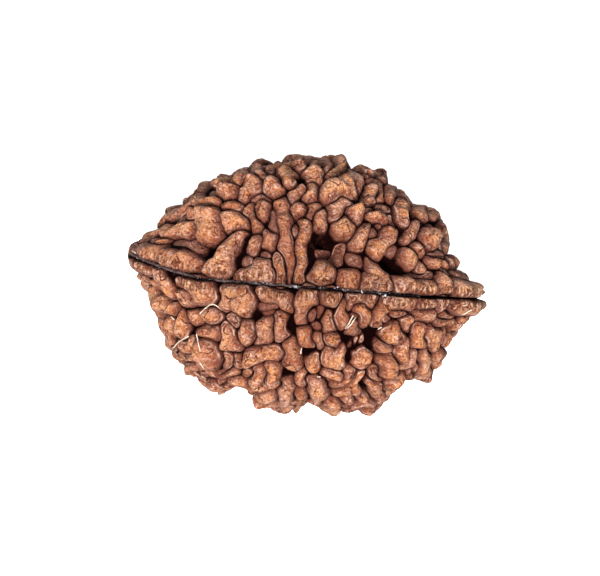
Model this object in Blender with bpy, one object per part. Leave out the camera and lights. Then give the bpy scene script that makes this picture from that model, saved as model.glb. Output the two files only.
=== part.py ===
# Two mukhi rudraksha bead, the ripe stone of the fruit, grown as one piece.
# It lies on one of its two poles: +X runs from beak to beak, +Y across its two halves, +Z up.
# The mukh is the groove that runs all round it from beak to beak, over both poles.
# The shape is a formula in millimetres, measured from the middle of the bead.

import math

import bmesh
import bpy
import numpy as np

MILLIMETRE = 0.001

# Body under the lobes
BODY_HALF_LENGTH = 11.6
BODY_HALF_WIDTH = 9.3
BODY_HALF_HEIGHT = 8.3
BODY_SQUARENESS = 2.3

# Hollows (negative) and swellings of the outline, as (x, y, reach, depth), drawn out along Z
BODY_WAVES = (
    (-4.5, -8.9, 1.1, -2.2),
    (-3.1, -9.8, 0.7, -1.5),
    (-1.3, -10.6, 0.8, 2.2),
    (0.2, -10.1, 0.5, 0.75),
    (0.95, -9.4, 0.8, -1.85),
    (4.3, -10.2, 1.0, -0.9),
    (5.7, -9.2, 1.3, 0.3),
    (7.6, -7.3, 1.3, -1.25),
    (8.8, -7.3, 0.8, -0.9),
    (10.1, -6.7, 1.0, 0.6),
    (11.8, -3.8, 1.2, -1.0),
    (13.0, -1.9, 0.8, -1.2),
    (11.8, -1.6, 0.5, -0.3),
    (13.5, -0.7, 0.8, -0.3),
    (13.5, 0.75, 0.6, -0.65),
    (13.3, 1.3, 1.4, -0.5),
    (12.2, 1.8, 1.1, -1.0),
    (11.3, 4.2, 1.6, -1.15),
    (9.0, 6.5, 0.8, -0.45),
    (7.4, 7.5, 1.3, -1.45),
    (5.9, 8.9, 1.0, -0.85),
    (4.3, 10.2, 0.7, 1.15),
    (3.1, 9.8, 0.6, -1.2),
    (1.5, 10.6, 1.2, 1.05),
    (-2.4, 9.9, 0.7, -2.0),
    (-4.6, 9.6, 0.7, 0.6),
    (-6.4, 8.5, 1.3, -0.7),
    (-9.3, 6.9, 1.2, -0.4),
    (-10.6, 5.9, 1.3, -0.3),
    (-13.7, -0.2, 0.7, -0.45),
    (-12.0, -3.4, 0.8, -0.45),
    (-11.1, -4.7, 0.9, -0.7),
    (-10.1, -6.7, 0.9, 0.3),
    (-8.2, -8.2, 0.8, -0.6),
    (-6.6, -9.2, 1.0, 0.35),
)
WAVE_DRAW = 0.35

# Keel that carries the mukh and ends in the two beaks
KEEL_HALF_LENGTH = 13.4
KEEL_HALF_WIDTH = 2.2
KEEL_HALF_HEIGHT = 7.9
KEEL_BLUNTNESS = 3.0
KEEL_BLEND = 10.0

# Mukh: its line seen from above, which wanders a little under the bead
MUKH_OFFSET = -0.12
MUKH_HOOK_START = 8.0
MUKH_HOOK_SLOPE = 0.15
MUKH_HOOK_CURVE = 0.018
MUKH_RISE_START = 9.0
MUKH_RISE_SLOPE = 0.045
MUKH_UNDER_SWAY = 0.35
MUKH_UNDER_PITCH = 0.55
MUKH_UNDER_START = 0.8

# Mukh: the width and depth of its groove, and how they fade towards the beaks
MUKH_HALF_WIDTH = 0.2
MUKH_BEVEL = 0.12
MUKH_DEPTH = 0.6
MUKH_TIP_HALF_WIDTH = 0.1
MUKH_TIP_DEPTH = 0.1
MUKH_TIP_START = 9.5
MUKH_TIP_LENGTH = 2.0
LIP_STEEPNESS = 3.5

# Ends of the beaks: the lobes stand out less there, and the creases between them are shallow
END_START = 12.2
END_LENGTH = 1.3
END_RISE = 0.75
END_FLOOR = 0.6
CREASE_FLOOR = -2.0

# Lobes: how far they stand out for their half-width, how much of it is rounded, how far one
# spreads past its own line, and how far the low lobes, the pits and the fill lobes stand out
LOBE_RISE = 1.5
LOBE_SHOULDER = 1.3
LOBE_SPREAD = 0.42
SUNK_SHARE = 0.38
PIT_SHARE = -1.0
FILL_SHARES = (0.8, 1.15)
CORNER_ROUND = 0.11
EDGE_ROUND = 0.04
SURFACE_LIFT = 0.5
NEIGHBOUR_REACH = 1.2
LEAST_FACING = 0.5

# Bare ground, where no lobe is near: the distance and the half-width that stand for none,
# and the least that counts when distances are rounded together
NO_LOBE_DISTANCE = 9.0
NO_LOBE_HALF_WIDTH = 0.5
LEAST_CLOSENESS = 1e-9
LEAST_DISTANCE = -3.0

# Bends in the outlines of the lobes, and their uneven heights
WOBBLE_SIZE = 0.1
WOBBLE_LENGTH = 2.2
WOBBLE_WAVES = 14
SWELL_SHARE = 0.14
SWELL_LENGTH = 1.9
WAVE_LENGTHS = (0.6, 1.6)

# A lobe with a high grip keeps its round outline against its neighbours, and stands out more
GRIPS = (0.85, 1.25)
GRIP_RISE = 0.45

# Places of the upper face where the lobes lie deep, as (x, y, reach, depth)
FACE_HOLLOWS = (
    (1.7, 2.9, 1.3, 0.75),
    (6.5, 2.2, 1.0, 0.6),
    (4.6, -3.6, 1.1, 0.6),
    (-8.1, 2.2, 0.8, 0.45),
    (0.3, -5.3, 0.9, 0.4),
    (-5.3, 2.4, 0.7, 0.3),
    (3.4, 7.3, 0.7, 0.35),
)

# Lobes that fill the sides and the underside
FILL_HALF_WIDTHS = (0.74, 0.62, 0.52, 0.43, 0.35)
FILL_WIDTH_SPREAD = (0.9, 1.05)
FILL_PLACES = 5200
FILL_HIGHEST = 0.42
FILL_LENGTHS = (1.5, 0.8, 0.0)
FILL_OVERLAP = 0.1
FILL_BEND = 0.3
NEAR_POLE = 0.9
SAMPLE_SPACING = 0.4
LIP_HALF_WIDTH = 0.5
LIP_WIDTH_SPREAD = (0.85, 1.25)
LIP_LENGTHS = (0.5, 2.0)
LIP_OFFSET = 0.15
LIP_GAP = 0.1
LIP_REACH = 12.2
LIP_LEAST_ROOM = 1.0
BEAK_ANGLES = (4.0, -4.0, -12.0)
SEED = 2

# Faces, and the flat spots of the lobes that it rests on
SPHERE_SUBDIVISIONS = 7
FACE_SHARE = 0.141
SEAT_DEPTH = 8.95
SEAT_CUTTER_SIZE = 40.0
BISECTION_STEPS = 30
BISECTION_MARGIN = 2.0

# Lobes of the upper face, as (x, y, half-width) along the middle of each, seen from above
FACE_LOBES = (
    # Left beak and the lips of the mukh, above it
    ((-13.3, 2.45, 0.5), (-12.3, 3.05, 0.55), (-11.2, 3.35, 0.5), (-9.7, 3.6, 0.5)),
    ((-7.6, 0.8, 0.55), (-6.8, 1.0, 0.62), (-6.25, 2.2, 0.52), (-5.85, 3.3, 0.5)),
    ((-5.2, 0.5, 0.42), (-3.8, 0.65, 0.5), (-3.65, 1.6, 0.45), (-3.8, 0.65, 0.5), (-3.05, 0.62, 0.42)),
    ((-2.55, 2.0, 0.3), (-2.1, 0.65, 0.38)),
    ((-0.65, 4.9, 0.35), (-0.7, 2.2, 0.24), (-0.85, 0.6, 0.38)),
    ((1.0, 1.0, 0.8),),
    ((2.6, 0.72, 0.5), (3.5, 0.75, 0.55)),
    ((4.5, 0.65, 0.45), (5.6, 0.75, 0.5), (5.75, 1.15, 0.38), (5.0, 1.95, 0.35), (4.5, 2.45, 0.28)),
    ((7.2, 0.7, 0.55), (9.2, 0.72, 0.58)),
    ((10.3, 1.4, 0.45), (10.4, 0.55, 0.45)),
    # Lips of the mukh below it, from the left beak to the right one
    ((-12.0, 0.0, 0.45), (-11.2, -0.7, 0.55), (-10.4, -1.5, 0.48)),
    ((-9.9, -0.5, 0.45), (-8.8, -0.8, 0.55), (-8.0, -1.25, 0.8)),
    ((-6.35, -2.1, 0.38), (-6.35, -1.0, 0.45), (-5.2, -0.95, 0.55), (-4.9, -2.1, 0.7)),
    ((-3.1, -0.95, 0.55), (-2.0, -0.95, 0.52), (-1.65, -1.9, 0.35)),
    ((0.3, -0.85, 0.52), (-0.1, -0.75, 0.6), (-0.35, -1.4, 0.5), (-0.3, -2.5, 0.45)),
    ((1.75, -0.9, 0.68),),
    ((3.4, -1.35, 0.3), (3.55, -0.75, 0.38), (4.9, -0.75, 0.38), (5.0, -1.15, 0.3)),
    ((5.6, -2.3, 0.42), (5.7, -1.5, 0.42), (6.3, -0.8, 0.48), (8.0, -0.75, 0.48)),
    ((9.2, -0.78, 0.45),),
    ((10.5, -0.6, 0.42), (10.4, -0.75, 0.35)),
    # Upper half, left of the middle
    ((-11.8, 4.3, 0.55), (-10.3, 5.1, 0.6), (-9.2, 5.9, 0.6), (-7.9, 6.0, 0.5)),
    ((-8.15, 4.6, 0.9), (-8.0, 3.5, 0.8)),
    ((-9.1, 6.9, 0.45),),
    ((-8.0, 7.5, 0.45),),
    ((-7.3, 8.05, 0.38),),
    ((-6.75, 6.95, 0.62),),
    ((-6.1, 7.7, 0.45), (-5.6, 8.7, 0.45)),
    ((-5.2, 8.9, 0.45), (-4.4, 8.4, 0.45)),
    ((-3.8, 8.8, 0.42), (-3.1, 9.2, 0.42)),
    ((-2.5, 8.9, 0.5), (-2.1, 7.8, 0.5)),
    ((-3.5, 7.9, 0.55), (-3.0, 7.2, 0.6)),
    ((-4.85, 7.85, 0.5), (-5.0, 7.3, 0.45), (-5.6, 6.6, 0.38)),
    ((-6.3, 5.8, 0.55),),
    ((-5.1, 6.1, 0.32), (-5.3, 5.4, 0.35), (-4.6, 4.3, 0.35)),
    ((-5.0, 6.35, 0.28), (-3.8, 6.4, 0.28)),
    ((-3.9, 6.0, 0.5), (-4.0, 5.2, 0.5)),
    ((-6.3, 4.6, 0.7), (-5.5, 4.5, 0.65)),
    ((-2.5, 6.3, 0.5), (-2.35, 4.5, 0.45), (-2.0, 3.0, 0.4), (-1.7, 2.2, 0.3), (-1.6, 0.5, 0.2)),
    ((-4.7, 2.3, 0.38), (-4.25, 3.1, 0.38)),
    ((-3.3, 3.4, 0.58), (-3.25, 3.0, 0.55)),
    ((-1.2, 7.6, 0.38), (-1.6, 6.8, 0.38)),
    ((-0.35, 7.8, 0.42), (-0.4, 6.9, 0.4)),
    ((-1.2, 5.9, 0.55),),
    ((-0.25, 6.3, 0.3), (-0.3, 5.6, 0.3)),
    ((-0.3, 9.4, 0.5), (-0.2, 8.2, 0.45)),
    ((-1.3, 9.3, 0.55),),
    # Upper half, right of the middle
    ((0.4, 9.9, 0.42), (0.8, 9.3, 0.4)),
    ((1.85, 10.0, 0.5), (1.5, 9.2, 0.45), (1.0, 8.6, 0.35)),
    ((0.9, 7.1, 0.6), (1.3, 7.9, 0.65), (2.2, 8.1, 0.65), (2.8, 7.7, 0.55)),
    ((2.6, 8.9, 0.35), (3.3, 8.7, 0.35), (3.6, 8.0, 0.3)),
    ((3.8, 9.25, 0.48),),
    ((4.5, 9.5, 0.35), (5.0, 9.2, 0.35), (5.15, 8.7, 0.3)),
    ((4.2, 8.6, 0.28), (4.8, 8.6, 0.28), (5.1, 8.0, 0.28), (5.0, 7.3, 0.28)),
    ((4.3, 8.0, 0.45), (4.2, 6.9, 0.45)),
    ((5.9, 8.2, 0.45), (5.7, 7.5, 0.45)),
    ((6.55, 7.9, 0.33),),
    ((7.0, 7.4, 0.3),),
    ((6.7, 6.9, 0.45), (6.9, 5.6, 0.45)),
    ((1.6, 5.5, 0.38), (1.5, 6.2, 0.38), (2.0, 6.8, 0.36), (2.7, 6.8, 0.34)),
    ((3.3, 6.2, 0.62), (3.3, 5.7, 0.6)),
    ((2.3, 5.1, 0.6), (2.3, 4.4, 0.6)),
    ((0.35, 5.6, 0.33), (0.45, 4.8, 0.33)),
    ((4.6, 5.6, 0.4), (5.6, 5.7, 0.4)),
    ((5.2, 5.2, 0.25),),
    ((5.95, 5.1, 0.36), (5.7, 4.1, 0.42), (5.0, 3.2, 0.48)),
    ((4.2, 4.9, 0.36), (3.9, 4.2, 0.4), (3.5, 3.3, 0.42)),
    ((8.3, 6.8, 0.48), (8.2, 6.3, 0.48)),
    ((9.0, 6.3, 0.45), (9.5, 6.1, 0.45)),
    ((10.3, 5.7, 0.42), (10.4, 4.6, 0.42), (10.3, 3.8, 0.4)),
    ((9.3, 4.9, 0.6), (9.1, 4.1, 0.6)),
    ((8.1, 5.3, 0.33), (7.8, 4.6, 0.33), (7.4, 4.3, 0.3)),
    ((8.35, 3.4, 0.4),),
    ((7.65, 2.65, 0.62),),
    ((8.55, 2.05, 0.38),),
    ((9.6, 2.5, 0.55),),
    ((9.4, 3.35, 0.28), (10.2, 3.35, 0.28)),
    ((10.85, 2.65, 0.45),),
    ((11.5, 2.9, 0.25), (11.6, 2.2, 0.25)),
    ((10.5, 1.9, 0.33),),
    ((11.4, 1.85, 0.33),),
    # Lower half, left of the middle
    ((-11.8, -1.7, 0.62), (-11.1, -2.3, 0.72), (-10.4, -2.4, 0.5)),
    ((-9.6, -1.4, 0.45), (-9.2, -2.1, 0.5)),
    ((-7.35, -2.9, 0.75),),
    ((-2.2, -2.8, 0.5), (-1.95, -4.0, 0.5)),
    ((-3.15, -3.2, 0.55), (-3.05, -4.2, 0.55), (-3.5, -4.7, 0.3)),
    ((-11.25, -3.6, 0.38), (-11.0, -4.4, 0.4)),
    ((-10.75, -5.0, 0.4), (-10.6, -5.8, 0.42)),
    ((-10.6, -3.5, 0.4), (-10.4, -4.5, 0.35)),
    ((-9.6, -3.5, 0.42), (-9.7, -4.25, 0.45)),
    ((-8.8, -2.9, 0.45), (-8.4, -3.4, 0.35)),
    ((-7.9, -4.1, 0.42), (-7.1, -4.2, 0.45)),
    ((-5.55, -3.25, 0.46),),
    ((-6.05, -4.1, 0.48), (-5.9, -4.9, 0.5), (-5.1, -5.3, 0.25)),
    ((-4.7, -3.4, 0.5), (-4.7, -4.3, 0.5)),
    ((-9.4, -5.7, 0.42), (-8.7, -5.2, 0.42)),
    ((-9.7, -6.3, 0.38), (-8.7, -6.2, 0.38)),
    ((-9.0, -7.0, 0.45), (-8.2, -7.1, 0.48)),
    ((-7.6, -7.9, 0.3),),
    ((-7.3, -5.6, 0.85), (-7.05, -6.4, 0.85)),
    ((-5.75, -5.9, 0.28), (-5.95, -6.6, 0.3), (-6.6, -7.2, 0.25)),
    ((-5.0, -5.9, 0.33), (-4.9, -6.5, 0.35)),
    ((-2.0, -5.3, 0.48), (-3.2, -5.5, 0.55), (-4.15, -6.2, 0.6)),
    ((-2.35, -6.5, 0.5), (-2.0, -7.6, 0.58)),
    ((-3.35, -6.95, 0.42), (-3.3, -8.0, 0.45)),
    ((-3.2, -8.85, 0.42), (-2.3, -8.8, 0.48)),
    ((-7.3, -7.4, 0.28), (-6.3, -7.7, 0.25), (-5.2, -7.2, 0.25)),
    ((-6.9, -8.3, 0.5), (-6.2, -8.45, 0.5)),
    ((-5.3, -7.9, 0.38), (-4.6, -7.9, 0.38)),
    ((-4.2, -7.3, 0.3),),
    ((-3.9, -8.9, 0.3), (-3.4, -9.2, 0.3)),
    ((-2.0, -9.7, 0.42), (-1.0, -9.9, 0.45)),
    ((-1.1, -7.6, 0.5), (-1.0, -9.0, 0.52)),
    ((-1.15, -4.7, 0.42), (-1.0, -5.6, 0.5), (-0.7, -6.25, 0.45)),
    # Lower half, right of the middle
    ((0.2, -2.2, 0.4),),
    ((0.1, -3.7, 0.5), (0.5, -4.5, 0.48)),
    ((1.1, -3.7, 0.33), (1.15, -4.7, 0.35)),
    ((1.6, -2.1, 0.35), (1.9, -3.05, 0.38)),
    ((2.7, -1.4, 0.38), (2.9, -2.6, 0.38)),
    ((4.3, -1.6, 0.38), (4.7, -2.4, 0.38)),
    ((3.85, -2.8, 0.4), (3.9, -3.5, 0.42)),
    ((6.9, -1.65, 0.25), (7.5, -1.6, 0.3)),
    ((8.7, -1.6, 0.38), (9.6, -1.65, 0.36)),
    ((10.4, -1.9, 0.33), (11.2, -2.15, 0.33)),
    ((10.8, -1.45, 0.22), (11.3, -1.65, 0.22)),
    ((11.8, -1.9, 0.45), (11.7, -2.5, 0.45)),
    ((10.9, -2.7, 0.33), (10.85, -3.2, 0.3)),
    ((7.75, -2.25, 0.45), (7.95, -2.6, 0.3)),
    ((6.85, -3.25, 0.82),),
    ((8.9, -2.8, 0.5), (8.85, -3.6, 0.52)),
    ((9.85, -2.7, 0.42), (10.1, -3.8, 0.48)),
    ((11.25, -3.4, 0.3), (11.1, -4.0, 0.3)),
    ((2.1, -3.9, 0.38), (2.0, -4.7, 0.38)),
    ((1.9, -5.1, 0.38), (2.1, -5.75, 0.4), (2.75, -5.8, 0.38), (2.95, -5.1, 0.42)),
    ((2.2, -6.6, 0.42), (2.6, -7.0, 0.42)),
    ((3.75, -6.3, 0.28), (3.6, -7.0, 0.3), (2.9, -7.5, 0.25), (2.1, -7.2, 0.22)),
    ((0.8, -5.9, 0.42), (0.9, -6.35, 0.42)),
    ((1.2, -7.6, 0.6), (1.35, -8.4, 0.62)),
    ((4.35, -6.8, 0.35), (4.2, -7.8, 0.55), (3.2, -8.2, 0.45)),
    ((2.6, -9.0, 0.5), (2.7, -9.6, 0.55)),
    ((3.65, -9.2, 0.33),),
    ((4.7, -8.9, 0.45), (5.6, -8.85, 0.48)),
    ((5.45, -7.1, 0.42), (6.0, -7.9, 0.48)),
    ((5.55, -6.2, 0.33), (6.1, -6.75, 0.33)),
    ((6.6, -8.4, 0.35), (6.4, -9.0, 0.38)),
    ((4.15, -5.2, 0.34), (4.5, -5.85, 0.38), (5.0, -5.65, 0.38), (4.8, -4.75, 0.35)),
    ((6.1, -4.1, 0.5), (6.35, -4.25, 0.52)),
    ((6.5, -5.6, 0.75), (6.9, -6.1, 0.6)),
    ((0.0, -7.0, 0.33), (0.0, -7.7, 0.35)),
    ((0.0, -8.4, 0.42), (0.05, -9.4, 0.45)),
    ((0.75, -9.2, 0.3),),
    ((7.7, -4.2, 0.5), (7.5, -4.9, 0.52)),
    ((8.5, -4.5, 0.32), (8.45, -5.6, 0.34), (7.75, -5.6, 0.24)),
    ((9.3, -4.8, 0.45), (9.65, -5.7, 0.45), (9.4, -6.3, 0.5)),
    ((8.9, -5.8, 0.28),),
    ((10.4, -4.5, 0.42), (10.5, -5.3, 0.42)),
    ((10.4, -6.2, 0.28),),
    ((8.7, -6.75, 0.28),),
    ((7.4, -7.3, 0.4),),
    ((7.7, -6.8, 0.22),),
)

# Lips of the mukh that run on over the tip of a beak
BEAK_LOBES = (
    ((-8.95, 0.95, 0.55), (-10.0, 1.2, 0.72), (-11.4, 1.6, 0.6), (-12.7, 1.85, 0.5)),
    ((-12.6, 0.1, 0.45), (-13.3, 0.35, 0.45)),
    ((11.7, 0.75, 0.55), (12.6, 0.85, 0.62)),
    ((11.8, -0.7, 0.6), (12.6, -0.8, 0.6)),
)

# Smaller lobes that lie lower between them
SUNK_LOBES = (
    ((-10.5, 2.6, 0.28), (-8.8, 2.35, 0.3)),
    ((-11.1, 2.05, 0.2), (-10.2, 2.0, 0.2)),
    ((-8.15, 6.8, 0.35),),
    ((-10.6, 5.75, 0.3),),
    ((-4.35, 9.35, 0.38),),
    ((-3.45, 9.7, 0.33),),
    ((-3.15, 5.7, 0.25), (-3.1, 4.1, 0.25)),
    ((-1.2, 4.3, 0.3),),
    ((2.7, 9.8, 0.3), (2.8, 9.3, 0.3)),
    ((4.35, 6.4, 0.3),),
    ((5.4, 6.55, 0.42),),
    ((6.0, 5.9, 0.25), (6.3, 5.5, 0.25)),
    ((4.95, 4.55, 0.3),),
    ((9.0, 5.3, 0.25), (9.5, 5.4, 0.25)),
    ((-4.95, 1.7, 0.4),),
    ((-3.5, 2.3, 0.35),),
    ((0.8, 2.6, 0.38),),
    ((2.3, 3.0, 0.38), (2.1, 2.3, 0.36)),
    ((3.5, 2.5, 0.33), (4.0, 2.4, 0.25)),
    ((8.2, 1.45, 0.22), (9.7, 1.6, 0.2)),
    ((12.7, 1.5, 0.22),),
    ((-3.3, -1.95, 0.28), (-2.5, -1.85, 0.26)),
    ((-3.2, -2.5, 0.25), (-2.7, -2.4, 0.2)),
    ((0.9, -2.0, 0.3),),
    ((1.1, -3.05, 0.28),),
    ((6.4, -2.1, 0.28),),
    ((4.2, -4.1, 0.25),),
    ((3.75, -4.35, 0.18),),
    ((4.75, -4.1, 0.25),),
    ((3.9, -2.2, 0.18),),
    ((6.5, 3.1, 0.25),),
    ((10.9, 3.35, 0.25), (11.3, 3.3, 0.25)),
)

# Deep dark pits between the lobes, as (x, y, half-width)
PITS = (
    ((-8.35, 1.9, 0.28),),
    ((-5.25, 3.2, 0.01), (-5.7, 1.3, 0.02)),
    ((-0.2, 3.4, 0.02), (-0.15, 1.2, 0.01)),
    ((3.2, 7.2, 0.22),),
    ((0.7, 3.6, 0.4),),
    ((4.15, 5.2, 0.12),),
    ((7.0, 4.6, 0.12),),
    ((6.2, 2.2, 0.32), (6.9, 1.7, 0.25)),
    ((7.4, 6.0, 0.25),),
    ((-1.4, 8.25, 0.2),),
    ((5.25, -3.2, 0.15), (5.35, -4.3, 0.2)),
    ((3.6, -4.1, 0.25),),
    ((3.7, -5.2, 0.25),),
    ((0.2, -5.4, 0.22),),
    ((4.9, -6.9, 0.25), (4.95, -7.6, 0.25)),
    ((8.0, -6.5, 0.2),),
    ((-9.7, -6.7, 0.2),),
    ((-1.3, -7.0, 0.2),),
    ((-3.85, -2.6, 0.2),),
    ((-1.05, -0.1, 0.12),),
    ((-1.1, -3.0, 0.01), (-1.15, -3.6, 0.02)),
)


def mukh_line(x, z):
    """Y of the middle of the mukh."""
    left = np.maximum(0.0, -x - MUKH_HOOK_START)
    right = np.maximum(0.0, x - MUKH_RISE_START)
    line = MUKH_OFFSET + MUKH_HOOK_SLOPE * left + MUKH_HOOK_CURVE * left**2 + MUKH_RISE_SLOPE * right
    under = np.clip(-z / BODY_HALF_HEIGHT, 0.0, 1.0)
    return line + MUKH_UNDER_SWAY * under * np.sin(MUKH_UNDER_PITCH * x + MUKH_UNDER_START)


def base_radius(directions):
    """Distance from the middle to the bare body, along unit directions."""
    x, y, z = directions.T
    flat = (
        np.abs(x / BODY_HALF_LENGTH) ** BODY_SQUARENESS + np.abs(y / BODY_HALF_WIDTH) ** BODY_SQUARENESS
    ) ** (1.0 / BODY_SQUARENESS)
    body = 1.0 / np.hypot(flat, z / BODY_HALF_HEIGHT)
    tip_line = mukh_line(x * KEEL_HALF_LENGTH, np.zeros_like(x)) - MUKH_OFFSET
    across = np.abs(y - tip_line / KEEL_HALF_LENGTH) / KEEL_HALF_WIDTH
    along = np.hypot(x / KEEL_HALF_LENGTH, z / KEEL_HALF_HEIGHT)
    keel = (along**KEEL_BLUNTNESS + across**KEEL_BLUNTNESS) ** (-1.0 / KEEL_BLUNTNESS)
    whole = (body**KEEL_BLEND + keel**KEEL_BLEND) ** (1.0 / KEEL_BLEND)
    wave = np.zeros_like(x)
    for wave_x, wave_y, reach, depth in BODY_WAVES:
        apart = (whole * x - wave_x) ** 2 + (whole * y - wave_y) ** 2 + (WAVE_DRAW * whole * z) ** 2
        wave += depth * np.exp(-apart / reach**2)
    return whole + wave


def on_body(x, y, side):
    """Point of the bare body that is seen at (x, y) from above (side 1) or from below (side -1)."""
    low, high = 0.0, BODY_HALF_HEIGHT + BISECTION_MARGIN
    for _ in range(BISECTION_STEPS):
        z = 0.5 * (low + high)
        point = np.array([[x, y, z * side]])
        length = np.linalg.norm(point)
        if length < base_radius(point / length)[0] + SURFACE_LIFT:
            low = z
        else:
            high = z
    point = np.array([[x, y, low * side]])
    direction = point / np.linalg.norm(point)
    return (direction * base_radius(direction)[0])[0]


def path_on_body(path, side):
    """Rows of x, y, z and half-width along a lobe, which gets wider near the outline, where it slopes."""
    rows = []
    for x, y, half_width in path:
        point = on_body(x, y, side)
        facing = max(LEAST_FACING, abs(point[2]) / np.linalg.norm(point))
        rows.append([*point, half_width / math.sqrt(math.sqrt(facing))])
    return np.array(rows)


def samples(rows):
    """Points along a lobe, for the test of how near its neighbours are."""
    found = [rows[:1]]
    for start, end in zip(rows[:-1], rows[1:]):
        steps = max(1, round(np.linalg.norm(end[:3] - start[:3]) / SAMPLE_SPACING))
        found.append(start + (end - start) * np.linspace(1.0 / steps, 1.0, steps)[:, None])
    return np.concatenate(found)


def underside_lips(random):
    """Blocks of the two lips of the mukh on the underside, divided by cross cuts."""
    lips = []
    for side_of_mukh in (-1.0, 1.0):
        x = -LIP_REACH
        while x < LIP_REACH - LIP_LEAST_ROOM:
            length = random.uniform(*LIP_LENGTHS)
            half_width = LIP_HALF_WIDTH * random.uniform(*LIP_WIDTH_SPREAD)
            path = []
            for place in (x, x + length):
                line = float(mukh_line(np.array(place), np.array(-BODY_HALF_HEIGHT)))
                path.append((place, line + side_of_mukh * (half_width + LIP_OFFSET), half_width))
            lips.append(path_on_body(path, -1))
            x += length + 2.0 * half_width + LIP_GAP
    return lips


def beak_lip(path):
    """A lip of the mukh from the upper face on over the tip of its beak."""
    rows = list(path_on_body(path, 1))
    last_x, last_y, half_width = path[-1]
    end = math.copysign(1.0, last_x)
    side_of_mukh = math.copysign(1.0, last_y - mukh_line(last_x, 0.0))
    for degrees in BEAK_ANGLES:
        angle = math.radians(degrees)
        direction = np.array([[end * math.cos(angle), 0.0, math.sin(angle)]])
        x, y, z = (direction * base_radius(direction))[0]
        y = float(mukh_line(x, z)) + side_of_mukh * (half_width + LIP_OFFSET)
        direction = np.array([[x, y, z]]) / math.hypot(x, y, z)
        rows.append(np.array([*(direction * base_radius(direction))[0], half_width]))
    return np.array(rows)


def fill_lobe(middle, angle, length, half_width):
    """A lobe of this length on the bare body, a little bent. Its middle is given as a direction."""
    east = np.cross(middle, (0.0, 0.0, 1.0) if abs(middle[2]) < NEAR_POLE else (1.0, 0.0, 0.0))
    east /= np.linalg.norm(east)
    north = np.cross(middle, east)
    along = math.cos(angle) * east + math.sin(angle) * north
    aside = np.cross(middle, along)
    radius = base_radius(middle[None])[0]
    offsets = np.array((-0.5, 0.0, 0.5) if length else (0.0,))[:, None] * length / radius
    directions = middle + along * offsets + aside * FILL_BEND * np.abs(offsets)
    directions /= np.linalg.norm(directions, axis=1)[:, None]
    points = directions * base_radius(directions)[:, None]
    return np.column_stack([points, np.full(len(points), half_width)])


def has_room(rows, taken):
    """Whether a lobe is clear of the mukh and of the lobes that are there already."""
    points = samples(rows)
    half_width = rows[0, 3]
    across = np.abs(points[:, 1] - mukh_line(points[:, 0], points[:, 2]))
    if (across < half_width + LIP_OFFSET).any():
        return False
    gaps = np.linalg.norm(points[:, None, :3] - taken[None, :, :3], axis=2) - taken[None, :, 3]
    return gaps.min() > half_width * (1.0 - FILL_OVERLAP)


def fill_lobes(random, placed):
    """Lobes wherever the bead is still bare, the large ones first."""
    numbers = np.arange(FILL_PLACES) + 0.5
    height = 1.0 - 2.0 * numbers / FILL_PLACES
    turn = numbers * math.pi * (1.0 + math.sqrt(5.0))
    ring = np.sqrt(1.0 - height**2)
    places = np.column_stack([ring * np.cos(turn), ring * np.sin(turn), height])
    points = places * base_radius(places)[:, None]
    room = np.abs(points[:, 1] - mukh_line(points[:, 0], points[:, 2])) - LIP_OFFSET
    taken = np.concatenate([samples(rows) for rows in placed])
    for row in taken:
        room = np.minimum(room, np.linalg.norm(points - row[:3], axis=1) - row[3])
    found = []
    for largest in FILL_HALF_WIDTHS:
        for place in random.permutation(FILL_PLACES):
            angle = random.uniform(0.0, math.pi)
            half_width = largest * random.uniform(*FILL_WIDTH_SPREAD)
            if room[place] < half_width * (1.0 - FILL_OVERLAP) or height[place] > FILL_HIGHEST:
                continue
            for length in FILL_LENGTHS:
                rows = fill_lobe(places[place], angle, length, half_width)
                if has_room(rows, taken):
                    found.append(rows)
                    new = samples(rows)
                    taken = np.concatenate([taken, new])
                    for row in new:
                        room = np.minimum(room, np.linalg.norm(points - row[:3], axis=1) - row[3])
                    break
    return found


def all_lobes():
    """Every lobe and pit as (rows, share), where share is how far it stands out beside a proud one."""
    random = np.random.default_rng(SEED)
    lobes = [(path_on_body(path, 1), 1.0) for path in FACE_LOBES]
    lobes += [(beak_lip(path), 1.0) for path in BEAK_LOBES]
    lobes += [(path_on_body(path, 1), SUNK_SHARE) for path in SUNK_LOBES]
    lobes += [(path_on_body(path, 1), PIT_SHARE) for path in PITS]
    lobes += [(rows, 1.0) for rows in underside_lips(random)]
    filled = fill_lobes(random, [rows for rows, _ in lobes])
    return lobes + [(rows, random.uniform(*FILL_SHARES)) for rows in filled]


def wobble(points):
    """Moves points a little by long waves, so that what is drawn there has uneven outlines."""
    random = np.random.default_rng(SEED)
    moved = points.copy()
    for _ in range(WOBBLE_WAVES):
        wave = random.normal(size=3)
        wave *= 2.0 * math.pi / (np.linalg.norm(wave) * WOBBLE_LENGTH * random.uniform(*WAVE_LENGTHS))
        push = random.normal(size=3) * WOBBLE_SIZE * math.sqrt(2.0 / WOBBLE_WAVES)
        moved += np.sin(points @ wave + random.uniform(0.0, 2.0 * math.pi))[:, None] * push
    return moved


def swell(points):
    """Long waves, about 1 at most, that give the lobes uneven heights."""
    random = np.random.default_rng(SEED + 1)
    total = np.zeros(len(points))
    for _ in range(WOBBLE_WAVES):
        wave = random.normal(size=3)
        wave *= 2.0 * math.pi / (np.linalg.norm(wave) * SWELL_LENGTH * random.uniform(*WAVE_LENGTHS))
        total += np.sin(points @ wave + random.uniform(0.0, 2.0 * math.pi))
    return total * math.sqrt(2.0 / WOBBLE_WAVES)


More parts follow.
